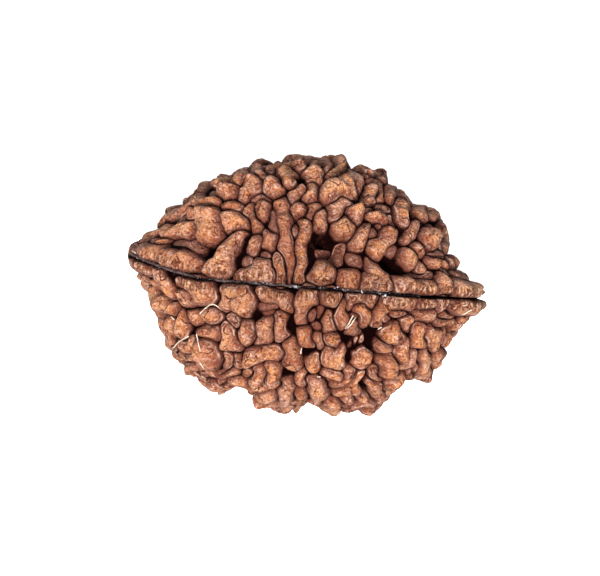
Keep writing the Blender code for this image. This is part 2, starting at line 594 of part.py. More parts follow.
def path_distance(points, rows):
    """Distance from each point to a lobe's edge line, and the lobe's half-width there."""
    best = np.linalg.norm(points - rows[0, :3], axis=1) - rows[0, 3]
    width = np.full(len(points), rows[0, 3])
    for start, end in zip(rows[:-1], rows[1:]):
        step = end[:3] - start[:3]
        along = np.clip((points - start[:3]) @ step / (step @ step), 0.0, 1.0)
        here = start[3] + along * (end[3] - start[3])
        distance = np.linalg.norm(points - start[:3] - along[:, None] * step, axis=1) - here
        nearer = distance < best
        best = np.where(nearer, distance, best)
        width = np.where(nearer, here, width)
    return best, width


def rounded_least(size, *distances):
    """The least of some distances, rounded where two are alike."""
    closeness = sum(np.exp(-np.maximum(distance, LEAST_DISTANCE) / size) for distance in distances)
    return -size * np.log(closeness)


def hollow_depth(points):
    """How deep the lobes lie at each point."""
    total = np.zeros(len(points))
    for x, y, reach, depth in FACE_HOLLOWS:
        apart = ((points - on_body(x, y, 1)) ** 2).sum(axis=1)
        total += depth * np.exp(-apart / reach**2)
    return total


def lobe_relief(points, lobes):
    """How far the lobes, the pits and the mukh move each point of the bare body out or in."""
    across = np.abs(points[:, 1] - mukh_line(points[:, 0], points[:, 2]))
    tip = np.clip((np.abs(points[:, 0]) - MUKH_TIP_START) / MUKH_TIP_LENGTH, 0.0, 1.0)
    ends = np.clip((np.abs(points[:, 0]) - END_START) / END_LENGTH, 0.0, 1.0)
    hollow = hollow_depth(points)
    points = wobble(points)
    nearest = np.full(len(points), NO_LOBE_DISTANCE)
    closeness = np.full(len(points), LEAST_CLOSENESS)
    width = np.full(len(points), NO_LOBE_HALF_WIDTH)
    share = np.zeros(len(points))
    grip = np.ones(len(points))
    grips = np.random.default_rng(SEED + 2).uniform(*GRIPS, len(lobes))
    for (rows, lobe_share), lobe_grip in zip(lobes, grips):
        reach = rows[:, 3].max() + NEIGHBOUR_REACH
        low = rows[:, :3].min(axis=0) - reach
        high = rows[:, :3].max(axis=0) + reach
        here = np.flatnonzero(((points > low) & (points < high)).all(axis=1))
        distance, half_width = path_distance(points[here], rows)
        distance = distance * lobe_grip
        closer = distance < nearest[here]
        closeness[here] += np.exp(-distance / CORNER_ROUND)
        nearest[here] = np.where(closer, distance, nearest[here])
        width[here] = np.where(closer, half_width, width[here])
        share[here] = np.where(closer, lobe_share, share[here])
        grip[here] = np.where(closer, lobe_grip, grip[here])
    others = closeness - np.exp(-nearest / CORNER_ROUND)
    second = -CORNER_ROUND * np.log(np.maximum(others, LEAST_CLOSENESS))
    mukh_half_width = MUKH_HALF_WIDTH + tip * (MUKH_TIP_HALF_WIDTH - MUKH_HALF_WIDTH)
    lip = LIP_STEEPNESS * (across - mukh_half_width)
    edge = rounded_least(EDGE_ROUND, LOBE_SPREAD - nearest, 0.5 * (second - nearest), lip)
    inward = np.clip(1.0 - edge / (LOBE_SHOULDER * width * grip), 0.0, 1.0)
    profile = np.where(share > 0.0, np.sqrt(1.0 - inward**2), 1.0 - inward**2)
    groove = MUKH_DEPTH + tip * (MUKH_TIP_DEPTH - MUKH_DEPTH)
    groove = groove * np.clip(1.0 - across / (mukh_half_width + MUKH_BEVEL), 0.0, 1.0)
    uneven = 1.0 + SWELL_SHARE * swell(points) + GRIP_RISE * (grip - 1.0)
    rise = share * LOBE_RISE * width * profile * uneven - groove
    rise = rise * (1.0 + ends * (END_RISE - 1.0)) - hollow
    return np.maximum(rise, END_FLOOR * ends + CREASE_FLOOR * (1.0 - ends))


def new_collection(name):
    collection = bpy.data.collections.new(name)
    bpy.context.scene.collection.children.link(collection)
    return collection


def shell_material():
    """Seasoned orange-brown stone, half matt."""
    material = bpy.data.materials.new("rudraksha_shell")
    material.use_nodes = True
    shader = material.node_tree.nodes["Principled BSDF"]
    shader.inputs["Base Color"].default_value = (0.36, 0.13, 0.055, 1.0)
    shader.inputs["Roughness"].default_value = 0.5
    shader.inputs["Metallic"].default_value = 0.0
    return material


def seat_cutter(collection):
    """Block under the bead whose top face trims the lowest lobes flat."""
    size = SEAT_CUTTER_SIZE * MILLIMETRE
    bpy.ops.mesh.primitive_cube_add(size=size, location=(0.0, 0.0, -0.5 * size))
    cutter = bpy.context.object
    cutter.name = "seat_cutter"
    cutter.hide_render = True
    cutter.display_type = "WIRE"
    for owner in list(cutter.users_collection):
        owner.objects.unlink(cutter)
    collection.objects.link(cutter)
    return cutter


def make_bead(collection, cutter):
    """A sphere moved out to the body and its lobes, thinned to few faces, then trimmed flat below."""
    mesh = bpy.data.meshes.new("bead")
    shape = bmesh.new()
    bmesh.ops.create_icosphere(shape, subdivisions=SPHERE_SUBDIVISIONS, radius=1.0)
    shape.to_mesh(mesh)
    shape.free()
    directions = np.empty(len(mesh.vertices) * 3, np.float32)
    mesh.vertices.foreach_get("co", directions)
    directions = directions.reshape(-1, 3).astype(float)
    directions /= np.linalg.norm(directions, axis=1)[:, None]
    radius = base_radius(directions)
    radius = radius + lobe_relief(directions * radius[:, None], all_lobes())
    points = directions * radius[:, None]
    points -= 0.5 * (points.min(axis=0) + points.max(axis=0)) * (1.0, 1.0, 0.0)
    points[:, 2] += SEAT_DEPTH
    mesh.vertices.foreach_set("co", (points * MILLIMETRE).astype(np.float32).ravel())
    mesh.shade_smooth()
    mesh.materials.append(shell_material())
    bead = bpy.data.objects.new("bead", mesh)
    collection.objects.link(bead)
    thin = bead.modifiers.new("thin", "DECIMATE")
    thin.ratio = FACE_SHARE
    seat = bead.modifiers.new("seat", "BOOLEAN")
    seat.operation = "DIFFERENCE"
    seat.object = cutter
    return bead


def main():
    for leftover in list(bpy.data.objects):
        bpy.data.objects.remove(leftover)
    cutter = seat_cutter(new_collection("cutters"))
    make_bead(new_collection("two_mukhi_rudraksha_bead"), cutter)


main()
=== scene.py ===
# Two mukhi rudraksha bead, seen from straight above one of its poles, on a plain white floor.
# Lengths are in millimetres, measured from the middle of the bead, unless a note says otherwise.

import math

import bmesh
import bpy
import numpy as np
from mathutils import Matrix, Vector
from mathutils.bvhtree import BVHTree


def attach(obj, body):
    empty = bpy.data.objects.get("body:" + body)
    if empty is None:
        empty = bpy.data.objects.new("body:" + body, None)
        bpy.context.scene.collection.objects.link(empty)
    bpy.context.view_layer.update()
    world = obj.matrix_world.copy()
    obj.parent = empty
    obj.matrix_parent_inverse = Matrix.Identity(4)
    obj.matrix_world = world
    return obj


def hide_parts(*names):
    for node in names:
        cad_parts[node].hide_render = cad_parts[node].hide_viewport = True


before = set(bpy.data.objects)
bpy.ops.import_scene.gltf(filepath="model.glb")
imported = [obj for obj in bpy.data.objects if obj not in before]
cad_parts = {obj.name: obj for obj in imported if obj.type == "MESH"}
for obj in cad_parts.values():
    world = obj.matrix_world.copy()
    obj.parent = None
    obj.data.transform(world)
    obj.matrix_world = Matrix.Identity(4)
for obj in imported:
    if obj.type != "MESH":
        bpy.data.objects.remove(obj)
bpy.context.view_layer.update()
millimetre = 0.001
print("frame loaded")

# Bare body under the lobes, and the keel that carries the mukh and ends in the two beaks
body = {
    "halfLength": 11.6,
    "halfWidth": 9.3,
    "halfHeight": 8.3,
    "squareness": 2.3,
    "keelHalfLength": 13.4,
    "keelHalfWidth": 2.2,
    "keelHalfHeight": 7.9,
    "keelBluntness": 3.0,
    "keelBlend": 10.0,
    "hollowDraw": 0.35,  # how much less a hollow narrows along Z
    "searchRoom": 2.0,  # how far above the body the search for its surface starts
    "searchSteps": 30,
    "hollows": (  # x, y, reach, depth: hollows are negative, swellings positive
        (-4.5, -8.9, 1.1, -2.2),
        (-3.1, -9.8, 0.7, -1.5),
        (-1.3, -10.6, 0.8, 2.2),
        (0.2, -10.1, 0.5, 0.75),
        (0.95, -9.4, 0.8, -1.85),
        (4.3, -10.2, 1.0, -0.9),
        (5.7, -9.2, 1.3, 0.3),
        (7.6, -7.3, 1.3, -1.25),
        (8.8, -7.3, 0.8, -0.9),
        (10.1, -6.7, 1.0, 0.6),
        (11.8, -3.8, 1.2, -1.0),
        (13.0, -1.9, 0.8, -1.2),
        (11.8, -1.6, 0.5, -0.3),
        (13.5, -0.7, 0.8, -0.3),
        (13.5, 0.75, 0.6, -0.65),
        (13.3, 1.3, 1.4, -0.5),
        (12.2, 1.8, 1.1, -1.0),
        (11.3, 4.2, 1.6, -1.15),
        (9.0, 6.5, 0.8, -0.45),
        (7.4, 7.5, 1.3, -1.45),
        (5.9, 8.9, 1.0, -0.85),
        (4.3, 10.2, 0.7, 1.15),
        (3.1, 9.8, 0.6, -1.2),
        (1.5, 10.6, 1.2, 1.05),
        (-2.4, 9.9, 0.7, -2.0),
        (-4.6, 9.6, 0.7, 0.6),
        (-6.4, 8.5, 1.3, -0.7),
        (-9.3, 6.9, 1.2, -0.4),
        (-10.6, 5.9, 1.3, -0.3),
        (-13.7, -0.2, 0.7, -0.45),
        (-12.0, -3.4, 0.8, -0.45),
        (-11.1, -4.7, 0.9, -0.7),
        (-10.1, -6.7, 0.9, 0.3),
        (-8.2, -8.2, 0.8, -0.6),
        (-6.6, -9.2, 1.0, 0.35),
    ),
}

# Mukh: the groove that runs all round from beak to beak, over both poles
mukh = {
    "offset": -0.12,
    "hookStart": 8.0,
    "hookSlope": 0.15,
    "hookCurve": 0.018,
    "riseStart": 9.0,
    "riseSlope": 0.045,
    "halfWidth": 0.09,
    "tipHalfWidth": 0.04,
    "hookHalfWidth": 0.18,
    "tipStart": 9.5,
    "tipLength": 2.0,
    "hookLength": 1.5,
    "bevel": 0.08,
    "depth": 0.6,
    "tipDepth": 0.1,
    "lipSteepness": 3.5,
    "endFloor": 0.6,  # how far the groove's floor rises at the very ends
    "endStart": 12.2,
    "endLength": 1.3,
    "endRise": 0.75,  # how far the lobes of the very ends stand out beside others
    "creaseFloor": -2.0,
    "underSway": 0.35,
    "underPitch": 0.55,
    "underStart": 0.8,
}

lobeShape = {
    "rise": 1.5,  # how far a lobe stands out for its half-width
    "shoulder": 1.3,  # how much of its half-width is rounded
    "spread": 0.42,  # how far it reaches past its own line
    "sunkShare": 0.38,
    "pitShare": -1.0,
    "fillShares": (0.8, 1.15),
    "wobbleSize": 0.1,
    "wobbleLength": 2.2,
    "wobbleWaves": 14,
    "swell": 0.14,
    "swellLength": 1.9,
    "grips": (0.85, 1.25),  # a lobe with a high grip keeps its round outline against its neighbours
    "gripRise": 0.45,
    "cornerRound": 0.11,  # rounds the corners where three lobes meet
    "edgeRound": 0.04,
    "surfaceLift": 0.5,
    "neighbourReach": 1.2,
    "cell": 1.2,  # grid that finds the points near a lobe
    "waveLengths": (0.6, 1.6),  # range of the waves' lengths about the given one
    "leastFacing": 0.5,  # past this slope a lobe gets no wider
    "leastDistance": -3.0,
    "farAway": 9.0,  # distance, closeness and half-width of a point that has no lobe near it
    "noCloseness": 1e-9,
    "noHalfWidth": 0.5,
    "seed": 2,
}

# Lobes that fill the sides and the underside
fill = {
    "halfWidths": (0.74, 0.62, 0.52, 0.43, 0.35),
    "places": 5200,
    "highest": 0.42,  # sine of the angle up to which they reach on the upper face
    "lengths": (1.5, 0.8, 0.0),
    "overlap": 0.1,
    "bend": 0.3,
    "sampleSpacing": 0.4,
    "lipHalfWidth": 0.5,
    "lipOffset": 0.15,  # from the middle of the mukh to the edge of a lip
    "lipReach": 12.2,
    "lipEndRoom": 1.0,
    "lipLengths": (0.5, 2.0),
    "lipWidths": (0.85, 1.25),  # as shares of the half-width of a lip
    "lipGap": 0.1,
    "widthRange": (0.9, 1.05),  # as shares of the half-widths above
    "nearAxis": 0.9,
    "beakAngles": (4.0, -4.0, -12.0),  # degrees above the level of the beaks
}

# Lobes of the upper face, as (x, y, half-width) along the middle of each, seen from above
faceLobes = (
    # Left beak and the lips of the mukh, above it
    ((-13.3, 2.45, 0.5), (-12.3, 3.05, 0.55), (-11.2, 3.35, 0.5), (-9.7, 3.6, 0.5)),
    ((-7.6, 0.8, 0.55), (-6.8, 1.0, 0.62), (-6.25, 2.2, 0.52), (-5.85, 3.3, 0.5)),
    ((-5.2, 0.5, 0.42), (-3.8, 0.65, 0.5), (-3.65, 1.6, 0.45), (-3.8, 0.65, 0.5), (-3.05, 0.62, 0.42)),
    ((-2.55, 2.0, 0.3), (-2.1, 0.65, 0.38)),
    ((-0.65, 4.9, 0.35), (-0.7, 2.2, 0.24), (-0.85, 0.6, 0.38)),
    ((1.0, 1.0, 0.8),),
    ((2.6, 0.72, 0.5), (3.5, 0.75, 0.55)),
    ((4.5, 0.65, 0.45), (5.6, 0.75, 0.5), (5.75, 1.15, 0.38), (5.0, 1.95, 0.35), (4.5, 2.45, 0.28)),
    ((7.2, 0.7, 0.55), (9.2, 0.72, 0.58)),
    ((10.3, 1.4, 0.45), (10.4, 0.55, 0.45)),
    # Lips of the mukh below it, from the left beak to the right one
    ((-12.0, 0.0, 0.45), (-11.2, -0.7, 0.55), (-10.4, -1.5, 0.48)),
    ((-9.9, -0.5, 0.45), (-8.8, -0.8, 0.55), (-8.0, -1.25, 0.8)),
    ((-6.35, -2.1, 0.38), (-6.35, -1.0, 0.45), (-5.2, -0.95, 0.55), (-4.9, -2.1, 0.7)),
    ((-3.1, -0.95, 0.55), (-2.0, -0.95, 0.52), (-1.65, -1.9, 0.35)),
    ((0.3, -0.85, 0.52), (-0.1, -0.75, 0.6), (-0.35, -1.4, 0.5), (-0.3, -2.5, 0.45)),
    ((1.75, -0.9, 0.68),),
    ((3.4, -1.35, 0.3), (3.55, -0.75, 0.38), (4.9, -0.75, 0.38), (5.0, -1.15, 0.3)),
    ((5.6, -2.3, 0.42), (5.7, -1.5, 0.42), (6.3, -0.8, 0.48), (8.0, -0.75, 0.48)),
    ((9.2, -0.78, 0.45),),
    ((10.5, -0.6, 0.42), (10.4, -0.75, 0.35)),
    # Upper half, left of the middle
    ((-11.8, 4.3, 0.55), (-10.3, 5.1, 0.6), (-9.2, 5.9, 0.6), (-7.9, 6.0, 0.5)),
    ((-8.15, 4.6, 0.9), (-8.0, 3.5, 0.8)),
    ((-9.1, 6.9, 0.45),),
    ((-8.0, 7.5, 0.45),),
    ((-7.3, 8.05, 0.38),),
    ((-6.75, 6.95, 0.62),),
    ((-6.1, 7.7, 0.45), (-5.6, 8.7, 0.45)),
    ((-5.2, 8.9, 0.45), (-4.4, 8.4, 0.45)),
    ((-3.8, 8.8, 0.42), (-3.1, 9.2, 0.42)),
    ((-2.5, 8.9, 0.5), (-2.1, 7.8, 0.5)),
    ((-3.5, 7.9, 0.55), (-3.0, 7.2, 0.6)),
    ((-4.85, 7.85, 0.5), (-5.0, 7.3, 0.45), (-5.6, 6.6, 0.38)),
    ((-6.3, 5.8, 0.55),),
    ((-5.1, 6.1, 0.32), (-5.3, 5.4, 0.35), (-4.6, 4.3, 0.35)),
    ((-5.0, 6.35, 0.28), (-3.8, 6.4, 0.28)),
    ((-3.9, 6.0, 0.5), (-4.0, 5.2, 0.5)),
    ((-6.3, 4.6, 0.7), (-5.5, 4.5, 0.65)),
    ((-2.5, 6.3, 0.5), (-2.35, 4.5, 0.45), (-2.0, 3.0, 0.4), (-1.7, 2.2, 0.3), (-1.6, 0.5, 0.2)),
    ((-4.7, 2.3, 0.38), (-4.25, 3.1, 0.38)),
    ((-3.3, 3.4, 0.58), (-3.25, 3.0, 0.55)),
    ((-1.2, 7.6, 0.38), (-1.6, 6.8, 0.38)),
    ((-0.35, 7.8, 0.42), (-0.4, 6.9, 0.4)),
    ((-1.2, 5.9, 0.55),),
    ((-0.25, 6.3, 0.3), (-0.3, 5.6, 0.3)),
    ((-0.3, 9.4, 0.5), (-0.2, 8.2, 0.45)),
    ((-1.3, 9.3, 0.55),),
    # Upper half, right of the middle
    ((0.4, 9.9, 0.42), (0.8, 9.3, 0.4)),
    ((1.85, 10.0, 0.5), (1.5, 9.2, 0.45), (1.0, 8.6, 0.35)),
    ((0.9, 7.1, 0.6), (1.3, 7.9, 0.65), (2.2, 8.1, 0.65), (2.8, 7.7, 0.55)),
    ((2.6, 8.9, 0.35), (3.3, 8.7, 0.35), (3.6, 8.0, 0.3)),
    ((3.8, 9.25, 0.48),),
    ((4.5, 9.5, 0.35), (5.0, 9.2, 0.35), (5.15, 8.7, 0.3)),
    ((4.2, 8.6, 0.28), (4.8, 8.6, 0.28), (5.1, 8.0, 0.28), (5.0, 7.3, 0.28)),
    ((4.3, 8.0, 0.45), (4.2, 6.9, 0.45)),
    ((5.9, 8.2, 0.45), (5.7, 7.5, 0.45)),
    ((6.55, 7.9, 0.33),),
    ((7.0, 7.4, 0.3),),
    ((6.7, 6.9, 0.45), (6.9, 5.6, 0.45)),
    ((1.6, 5.5, 0.38), (1.5, 6.2, 0.38), (2.0, 6.8, 0.36), (2.7, 6.8, 0.34)),
    ((3.3, 6.2, 0.62), (3.3, 5.7, 0.6)),
    ((2.3, 5.1, 0.6), (2.3, 4.4, 0.6)),
    ((0.35, 5.6, 0.33), (0.45, 4.8, 0.33)),
    ((4.6, 5.6, 0.4), (5.6, 5.7, 0.4)),
    ((5.2, 5.2, 0.25),),
    ((5.95, 5.1, 0.36), (5.7, 4.1, 0.42), (5.0, 3.2, 0.48)),
    ((4.2, 4.9, 0.36), (3.9, 4.2, 0.4), (3.5, 3.3, 0.42)),
    ((8.3, 6.8, 0.48), (8.2, 6.3, 0.48)),
    ((9.0, 6.3, 0.45), (9.5, 6.1, 0.45)),
    ((10.3, 5.7, 0.42), (10.4, 4.6, 0.42), (10.3, 3.8, 0.4)),
    ((9.3, 4.9, 0.6), (9.1, 4.1, 0.6)),
    ((8.1, 5.3, 0.33), (7.8, 4.6, 0.33), (7.4, 4.3, 0.3)),
    ((8.35, 3.4, 0.4),),
    ((7.65, 2.65, 0.62),),
    ((8.55, 2.05, 0.38),),
    ((9.6, 2.5, 0.55),),
    ((9.4, 3.35, 0.28), (10.2, 3.35, 0.28)),
    ((10.85, 2.65, 0.45),),
    ((11.5, 2.9, 0.25), (11.6, 2.2, 0.25)),
    ((10.5, 1.9, 0.33),),
    ((11.4, 1.85, 0.33),),
    # Lower half, left of the middle
    ((-11.8, -1.7, 0.62), (-11.1, -2.3, 0.72), (-10.4, -2.4, 0.5)),
    ((-9.6, -1.4, 0.45), (-9.2, -2.1, 0.5)),
    ((-7.35, -2.9, 0.75),),
    ((-2.2, -2.8, 0.5), (-1.95, -4.0, 0.5)),
    ((-3.15, -3.2, 0.55), (-3.05, -4.2, 0.55), (-3.5, -4.7, 0.3)),
    ((-11.25, -3.6, 0.38), (-11.0, -4.4, 0.4)),
    ((-10.75, -5.0, 0.4), (-10.6, -5.8, 0.42)),
    ((-10.6, -3.5, 0.4), (-10.4, -4.5, 0.35)),
    ((-9.6, -3.5, 0.42), (-9.7, -4.25, 0.45)),
    ((-8.8, -2.9, 0.45), (-8.4, -3.4, 0.35)),
    ((-7.9, -4.1, 0.42), (-7.1, -4.2, 0.45)),
    ((-5.55, -3.25, 0.46),),
    ((-6.05, -4.1, 0.48), (-5.9, -4.9, 0.5), (-5.1, -5.3, 0.25)),
    ((-4.7, -3.4, 0.5), (-4.7, -4.3, 0.5)),
    ((-9.4, -5.7, 0.42), (-8.7, -5.2, 0.42)),
    ((-9.7, -6.3, 0.38), (-8.7, -6.2, 0.38)),
    ((-9.0, -7.0, 0.45), (-8.2, -7.1, 0.48)),
    ((-7.6, -7.9, 0.3),),
    ((-7.3, -5.6, 0.85), (-7.05, -6.4, 0.85)),
    ((-5.75, -5.9, 0.28), (-5.95, -6.6, 0.3), (-6.6, -7.2, 0.25)),
    ((-5.0, -5.9, 0.33), (-4.9, -6.5, 0.35)),
    ((-2.0, -5.3, 0.48), (-3.2, -5.5, 0.55), (-4.15, -6.2, 0.6)),
    ((-2.35, -6.5, 0.5), (-2.0, -7.6, 0.58)),
    ((-3.35, -6.95, 0.42), (-3.3, -8.0, 0.45)),
    ((-3.2, -8.85, 0.42), (-2.3, -8.8, 0.48)),
    ((-7.3, -7.4, 0.28), (-6.3, -7.7, 0.25), (-5.2, -7.2, 0.25)),
    ((-6.9, -8.3, 0.5), (-6.2, -8.45, 0.5)),
    ((-5.3, -7.9, 0.38), (-4.6, -7.9, 0.38)),
    ((-4.2, -7.3, 0.3),),
    ((-3.9, -8.9, 0.3), (-3.4, -9.2, 0.3)),
    ((-2.0, -9.7, 0.42), (-1.0, -9.9, 0.45)),
    ((-1.1, -7.6, 0.5), (-1.0, -9.0, 0.52)),
    ((-1.15, -4.7, 0.42), (-1.0, -5.6, 0.5), (-0.7, -6.25, 0.45)),
    # Lower half, right of the middle
    ((0.2, -2.2, 0.4),),
    ((0.1, -3.7, 0.5), (0.5, -4.5, 0.48)),
    ((1.1, -3.7, 0.33), (1.15, -4.7, 0.35)),
    ((1.6, -2.1, 0.35), (1.9, -3.05, 0.38)),
    ((2.7, -1.4, 0.38), (2.9, -2.6, 0.38)),
    ((4.3, -1.6, 0.38), (4.7, -2.4, 0.38)),
    ((3.85, -2.8, 0.4), (3.9, -3.5, 0.42)),
    ((6.9, -1.65, 0.25), (7.5, -1.6, 0.3)),
    ((8.7, -1.6, 0.38), (9.6, -1.65, 0.36)),
    ((10.4, -1.9, 0.33), (11.2, -2.15, 0.33)),
    ((10.8, -1.45, 0.22), (11.3, -1.65, 0.22)),
    ((11.8, -1.9, 0.45), (11.7, -2.5, 0.45)),
    ((10.9, -2.7, 0.33), (10.85, -3.2, 0.3)),
    ((7.75, -2.25, 0.45), (7.95, -2.6, 0.3)),
    ((6.85, -3.25, 0.82),),
    ((8.9, -2.8, 0.5), (8.85, -3.6, 0.52)),
    ((9.85, -2.7, 0.42), (10.1, -3.8, 0.48)),
    ((11.25, -3.4, 0.3), (11.1, -4.0, 0.3)),
    ((2.1, -3.9, 0.38), (2.0, -4.7, 0.38)),
    ((1.9, -5.1, 0.38), (2.1, -5.75, 0.4), (2.75, -5.8, 0.38), (2.95, -5.1, 0.42)),
    ((2.2, -6.6, 0.42), (2.6, -7.0, 0.42)),
    ((3.75, -6.3, 0.28), (3.6, -7.0, 0.3), (2.9, -7.5, 0.25), (2.1, -7.2, 0.22)),
    ((0.8, -5.9, 0.42), (0.9, -6.35, 0.42)),
    ((1.2, -7.6, 0.6), (1.35, -8.4, 0.62)),
    ((4.35, -6.8, 0.35), (4.2, -7.8, 0.55), (3.2, -8.2, 0.45)),
    ((2.6, -9.0, 0.5), (2.7, -9.6, 0.55)),
    ((3.65, -9.2, 0.33),),
    ((4.7, -8.9, 0.45), (5.6, -8.85, 0.48)),
    ((5.45, -7.1, 0.42), (6.0, -7.9, 0.48)),
    ((5.55, -6.2, 0.33), (6.1, -6.75, 0.33)),
    ((6.6, -8.4, 0.35), (6.4, -9.0, 0.38)),
    ((4.15, -5.2, 0.34), (4.5, -5.85, 0.38), (5.0, -5.65, 0.38), (4.8, -4.75, 0.35)),
    ((6.1, -4.1, 0.5), (6.35, -4.25, 0.52)),
    ((6.5, -5.6, 0.75), (6.9, -6.1, 0.6)),
    ((0.0, -7.0, 0.33), (0.0, -7.7, 0.35)),
    ((0.0, -8.4, 0.42), (0.05, -9.4, 0.45)),
    ((0.75, -9.2, 0.3),),
    ((7.7, -4.2, 0.5), (7.5, -4.9, 0.52)),
    ((8.5, -4.5, 0.32), (8.45, -5.6, 0.34), (7.75, -5.6, 0.24)),
    ((9.3, -4.8, 0.45), (9.65, -5.7, 0.45), (9.4, -6.3, 0.5)),
    ((8.9, -5.8, 0.28),),
    ((10.4, -4.5, 0.42), (10.5, -5.3, 0.42)),
    ((10.4, -6.2, 0.28),),
    ((8.7, -6.75, 0.28),),
    ((7.4, -7.3, 0.4),),
    ((7.7, -6.8, 0.22),),
)

# Lips of the mukh that run on over the tip of a beak
beakLobes = (
    ((-8.95, 0.95, 0.55), (-10.0, 1.2, 0.72), (-11.4, 1.6, 0.6), (-12.7, 1.85, 0.5)),
    ((-12.6, 0.1, 0.45), (-13.3, 0.35, 0.45)),
    ((11.7, 0.75, 0.55), (12.6, 0.85, 0.62)),
    ((11.8, -0.7, 0.6), (12.6, -0.8, 0.6)),
)

# Smaller lobes that lie lower between them
sunkLobes = (
    ((-10.5, 2.6, 0.28), (-8.8, 2.35, 0.3)),
    ((-11.1, 2.05, 0.2), (-10.2, 2.0, 0.2)),
    ((-8.15, 6.8, 0.35),),
    ((-10.6, 5.75, 0.3),),
    ((-4.35, 9.35, 0.38),),
    ((-3.45, 9.7, 0.33),),
    ((-3.15, 5.7, 0.25), (-3.1, 4.1, 0.25)),
    ((-1.2, 4.3, 0.3),),
    ((2.7, 9.8, 0.3), (2.8, 9.3, 0.3)),
    ((4.35, 6.4, 0.3),),
    ((5.4, 6.55, 0.42),),
    ((6.0, 5.9, 0.25), (6.3, 5.5, 0.25)),
    ((4.95, 4.55, 0.3),),
    ((9.0, 5.3, 0.25), (9.5, 5.4, 0.25)),
    ((-4.95, 1.7, 0.4),),
    ((-3.5, 2.3, 0.35),),
    ((0.8, 2.6, 0.38),),
    ((2.3, 3.0, 0.38), (2.1, 2.3, 0.36)),
    ((3.5, 2.5, 0.33), (4.0, 2.4, 0.25)),
    ((8.2, 1.45, 0.22), (9.7, 1.6, 0.2)),
    ((12.7, 1.5, 0.22),),
    ((-3.3, -1.95, 0.28), (-2.5, -1.85, 0.26)),
    ((-3.2, -2.5, 0.25), (-2.7, -2.4, 0.2)),
    ((0.9, -2.0, 0.3),),
    ((1.1, -3.05, 0.28),),
    ((6.4, -2.1, 0.28),),
    ((4.2, -4.1, 0.25),),
    ((3.75, -4.35, 0.18),),
    ((4.75, -4.1, 0.25),),
    ((3.9, -2.2, 0.18),),
    ((6.5, 3.1, 0.25),),
    ((10.9, 3.35, 0.25), (11.3, 3.3, 0.25)),
)

# Deep dark pits between the lobes
pits = (
    ((-8.35, 1.9, 0.28),),
    ((-5.25, 3.2, 0.01), (-5.7, 1.3, 0.02)),
    ((-0.2, 3.4, 0.02), (-0.15, 1.2, 0.01)),
    ((3.2, 7.2, 0.22),),
    ((0.7, 3.6, 0.4),),
    ((4.15, 5.2, 0.12),),
    ((7.0, 4.6, 0.12),),
    ((6.2, 2.2, 0.32), (6.9, 1.7, 0.25)),
    ((7.4, 6.0, 0.25),),
    ((-1.4, 8.25, 0.2),),
    ((5.25, -3.2, 0.15), (5.35, -4.3, 0.2)),
    ((3.6, -4.1, 0.25),),
    ((3.7, -5.2, 0.25),),
    ((0.2, -5.4, 0.22),),
    ((4.9, -6.9, 0.25), (4.95, -7.6, 0.25)),
    ((8.0, -6.5, 0.2),),
    ((-9.7, -6.7, 0.2),),
    ((-1.3, -7.0, 0.2),),
    ((-3.85, -2.6, 0.2),),
    ((-1.05, -0.1, 0.12),),
    ((-1.1, -3.0, 0.01), (-1.15, -3.6, 0.02)),
)

# Places of the upper face where the lobes lie deep, as x, y, reach and depth
faceHollows = (
    (1.7, 2.9, 1.3, 0.75),
    (6.5, 2.2, 1.0, 0.6),
    (4.6, -3.6, 1.1, 0.6),
    (-8.1, 2.2, 0.8, 0.45),
    (0.3, -5.3, 0.9, 0.4),
    (-5.3, 2.4, 0.7, 0.3),
    (3.4, 7.3, 0.7, 0.35),
)


def mukhLine(x, z):
    # y of the middle of the mukh; under the bead it wanders a little from its line on top
    left = np.maximum(0.0, -x - mukh["hookStart"])
    right = np.maximum(0.0, x - mukh["riseStart"])
    line = mukh["offset"] + mukh["hookSlope"] * left + mukh["hookCurve"] * left**2 + mukh["riseSlope"] * right
    under = np.clip(-z / body["halfHeight"], 0.0, 1.0)
    return line + mukh["underSway"] * under * np.sin(mukh["underPitch"] * x + mukh["underStart"])


def baseRadius(directions):
    # distance from the middle to the bare body
    x, y, z = directions.T
    power = body["squareness"]
    flat = (np.abs(x / body["halfLength"]) ** power + np.abs(y / body["halfWidth"]) ** power) ** (1.0 / power)
    plain = 1.0 / np.hypot(flat, z / body["halfHeight"])
    tipLine = mukhLine(x * body["keelHalfLength"], np.zeros_like(x)) - mukh["offset"]
    across = np.abs(y - tipLine / body["keelHalfLength"]) / body["keelHalfWidth"]
    along = np.hypot(x / body["keelHalfLength"], z / body["keelHalfHeight"])
    blunt = body["keelBluntness"]
    keel = (along**blunt + across**blunt) ** (-1.0 / blunt)
    whole = (plain ** body["keelBlend"] + keel ** body["keelBlend"]) ** (1.0 / body["keelBlend"])
    wave = np.zeros_like(x)
    for hollowX, hollowY, reach, depth in body["hollows"]:
        aside = (whole * x - hollowX) ** 2 + (whole * y - hollowY) ** 2
        apart = aside + (body["hollowDraw"] * whole * z) ** 2
        wave += depth * np.exp(-apart / reach**2)
    return whole + wave


def onBody(x, y, side):
    # point of the bare body seen at (x, y) from above (side 1) or from below (side -1)
    low, high = 0.0, body["halfHeight"] + body["searchRoom"]
    for _ in range(body["searchSteps"]):
        z = 0.5 * (low + high)
        point = np.array([[x, y, z * side]])
        length = np.linalg.norm(point)
        if length < baseRadius(point / length)[0] + lobeShape["surfaceLift"]:
            low = z
        else:
            high = z
    point = np.array([[x, y, low * side]])
    direction = point / np.linalg.norm(point)
    return (direction * baseRadius(direction)[0])[0]


def pathOnBody(path, side):
    # rows of x, y, z and half-width; a lobe near the outline is seen narrowed, so it gets wider
    rows = []
    for x, y, halfWidth in path:
        point = onBody(x, y, side)
        facing = max(lobeShape["leastFacing"], abs(point[2]) / np.linalg.norm(point))
        rows.append([*point, halfWidth / math.sqrt(math.sqrt(facing))])
    return np.array(rows)


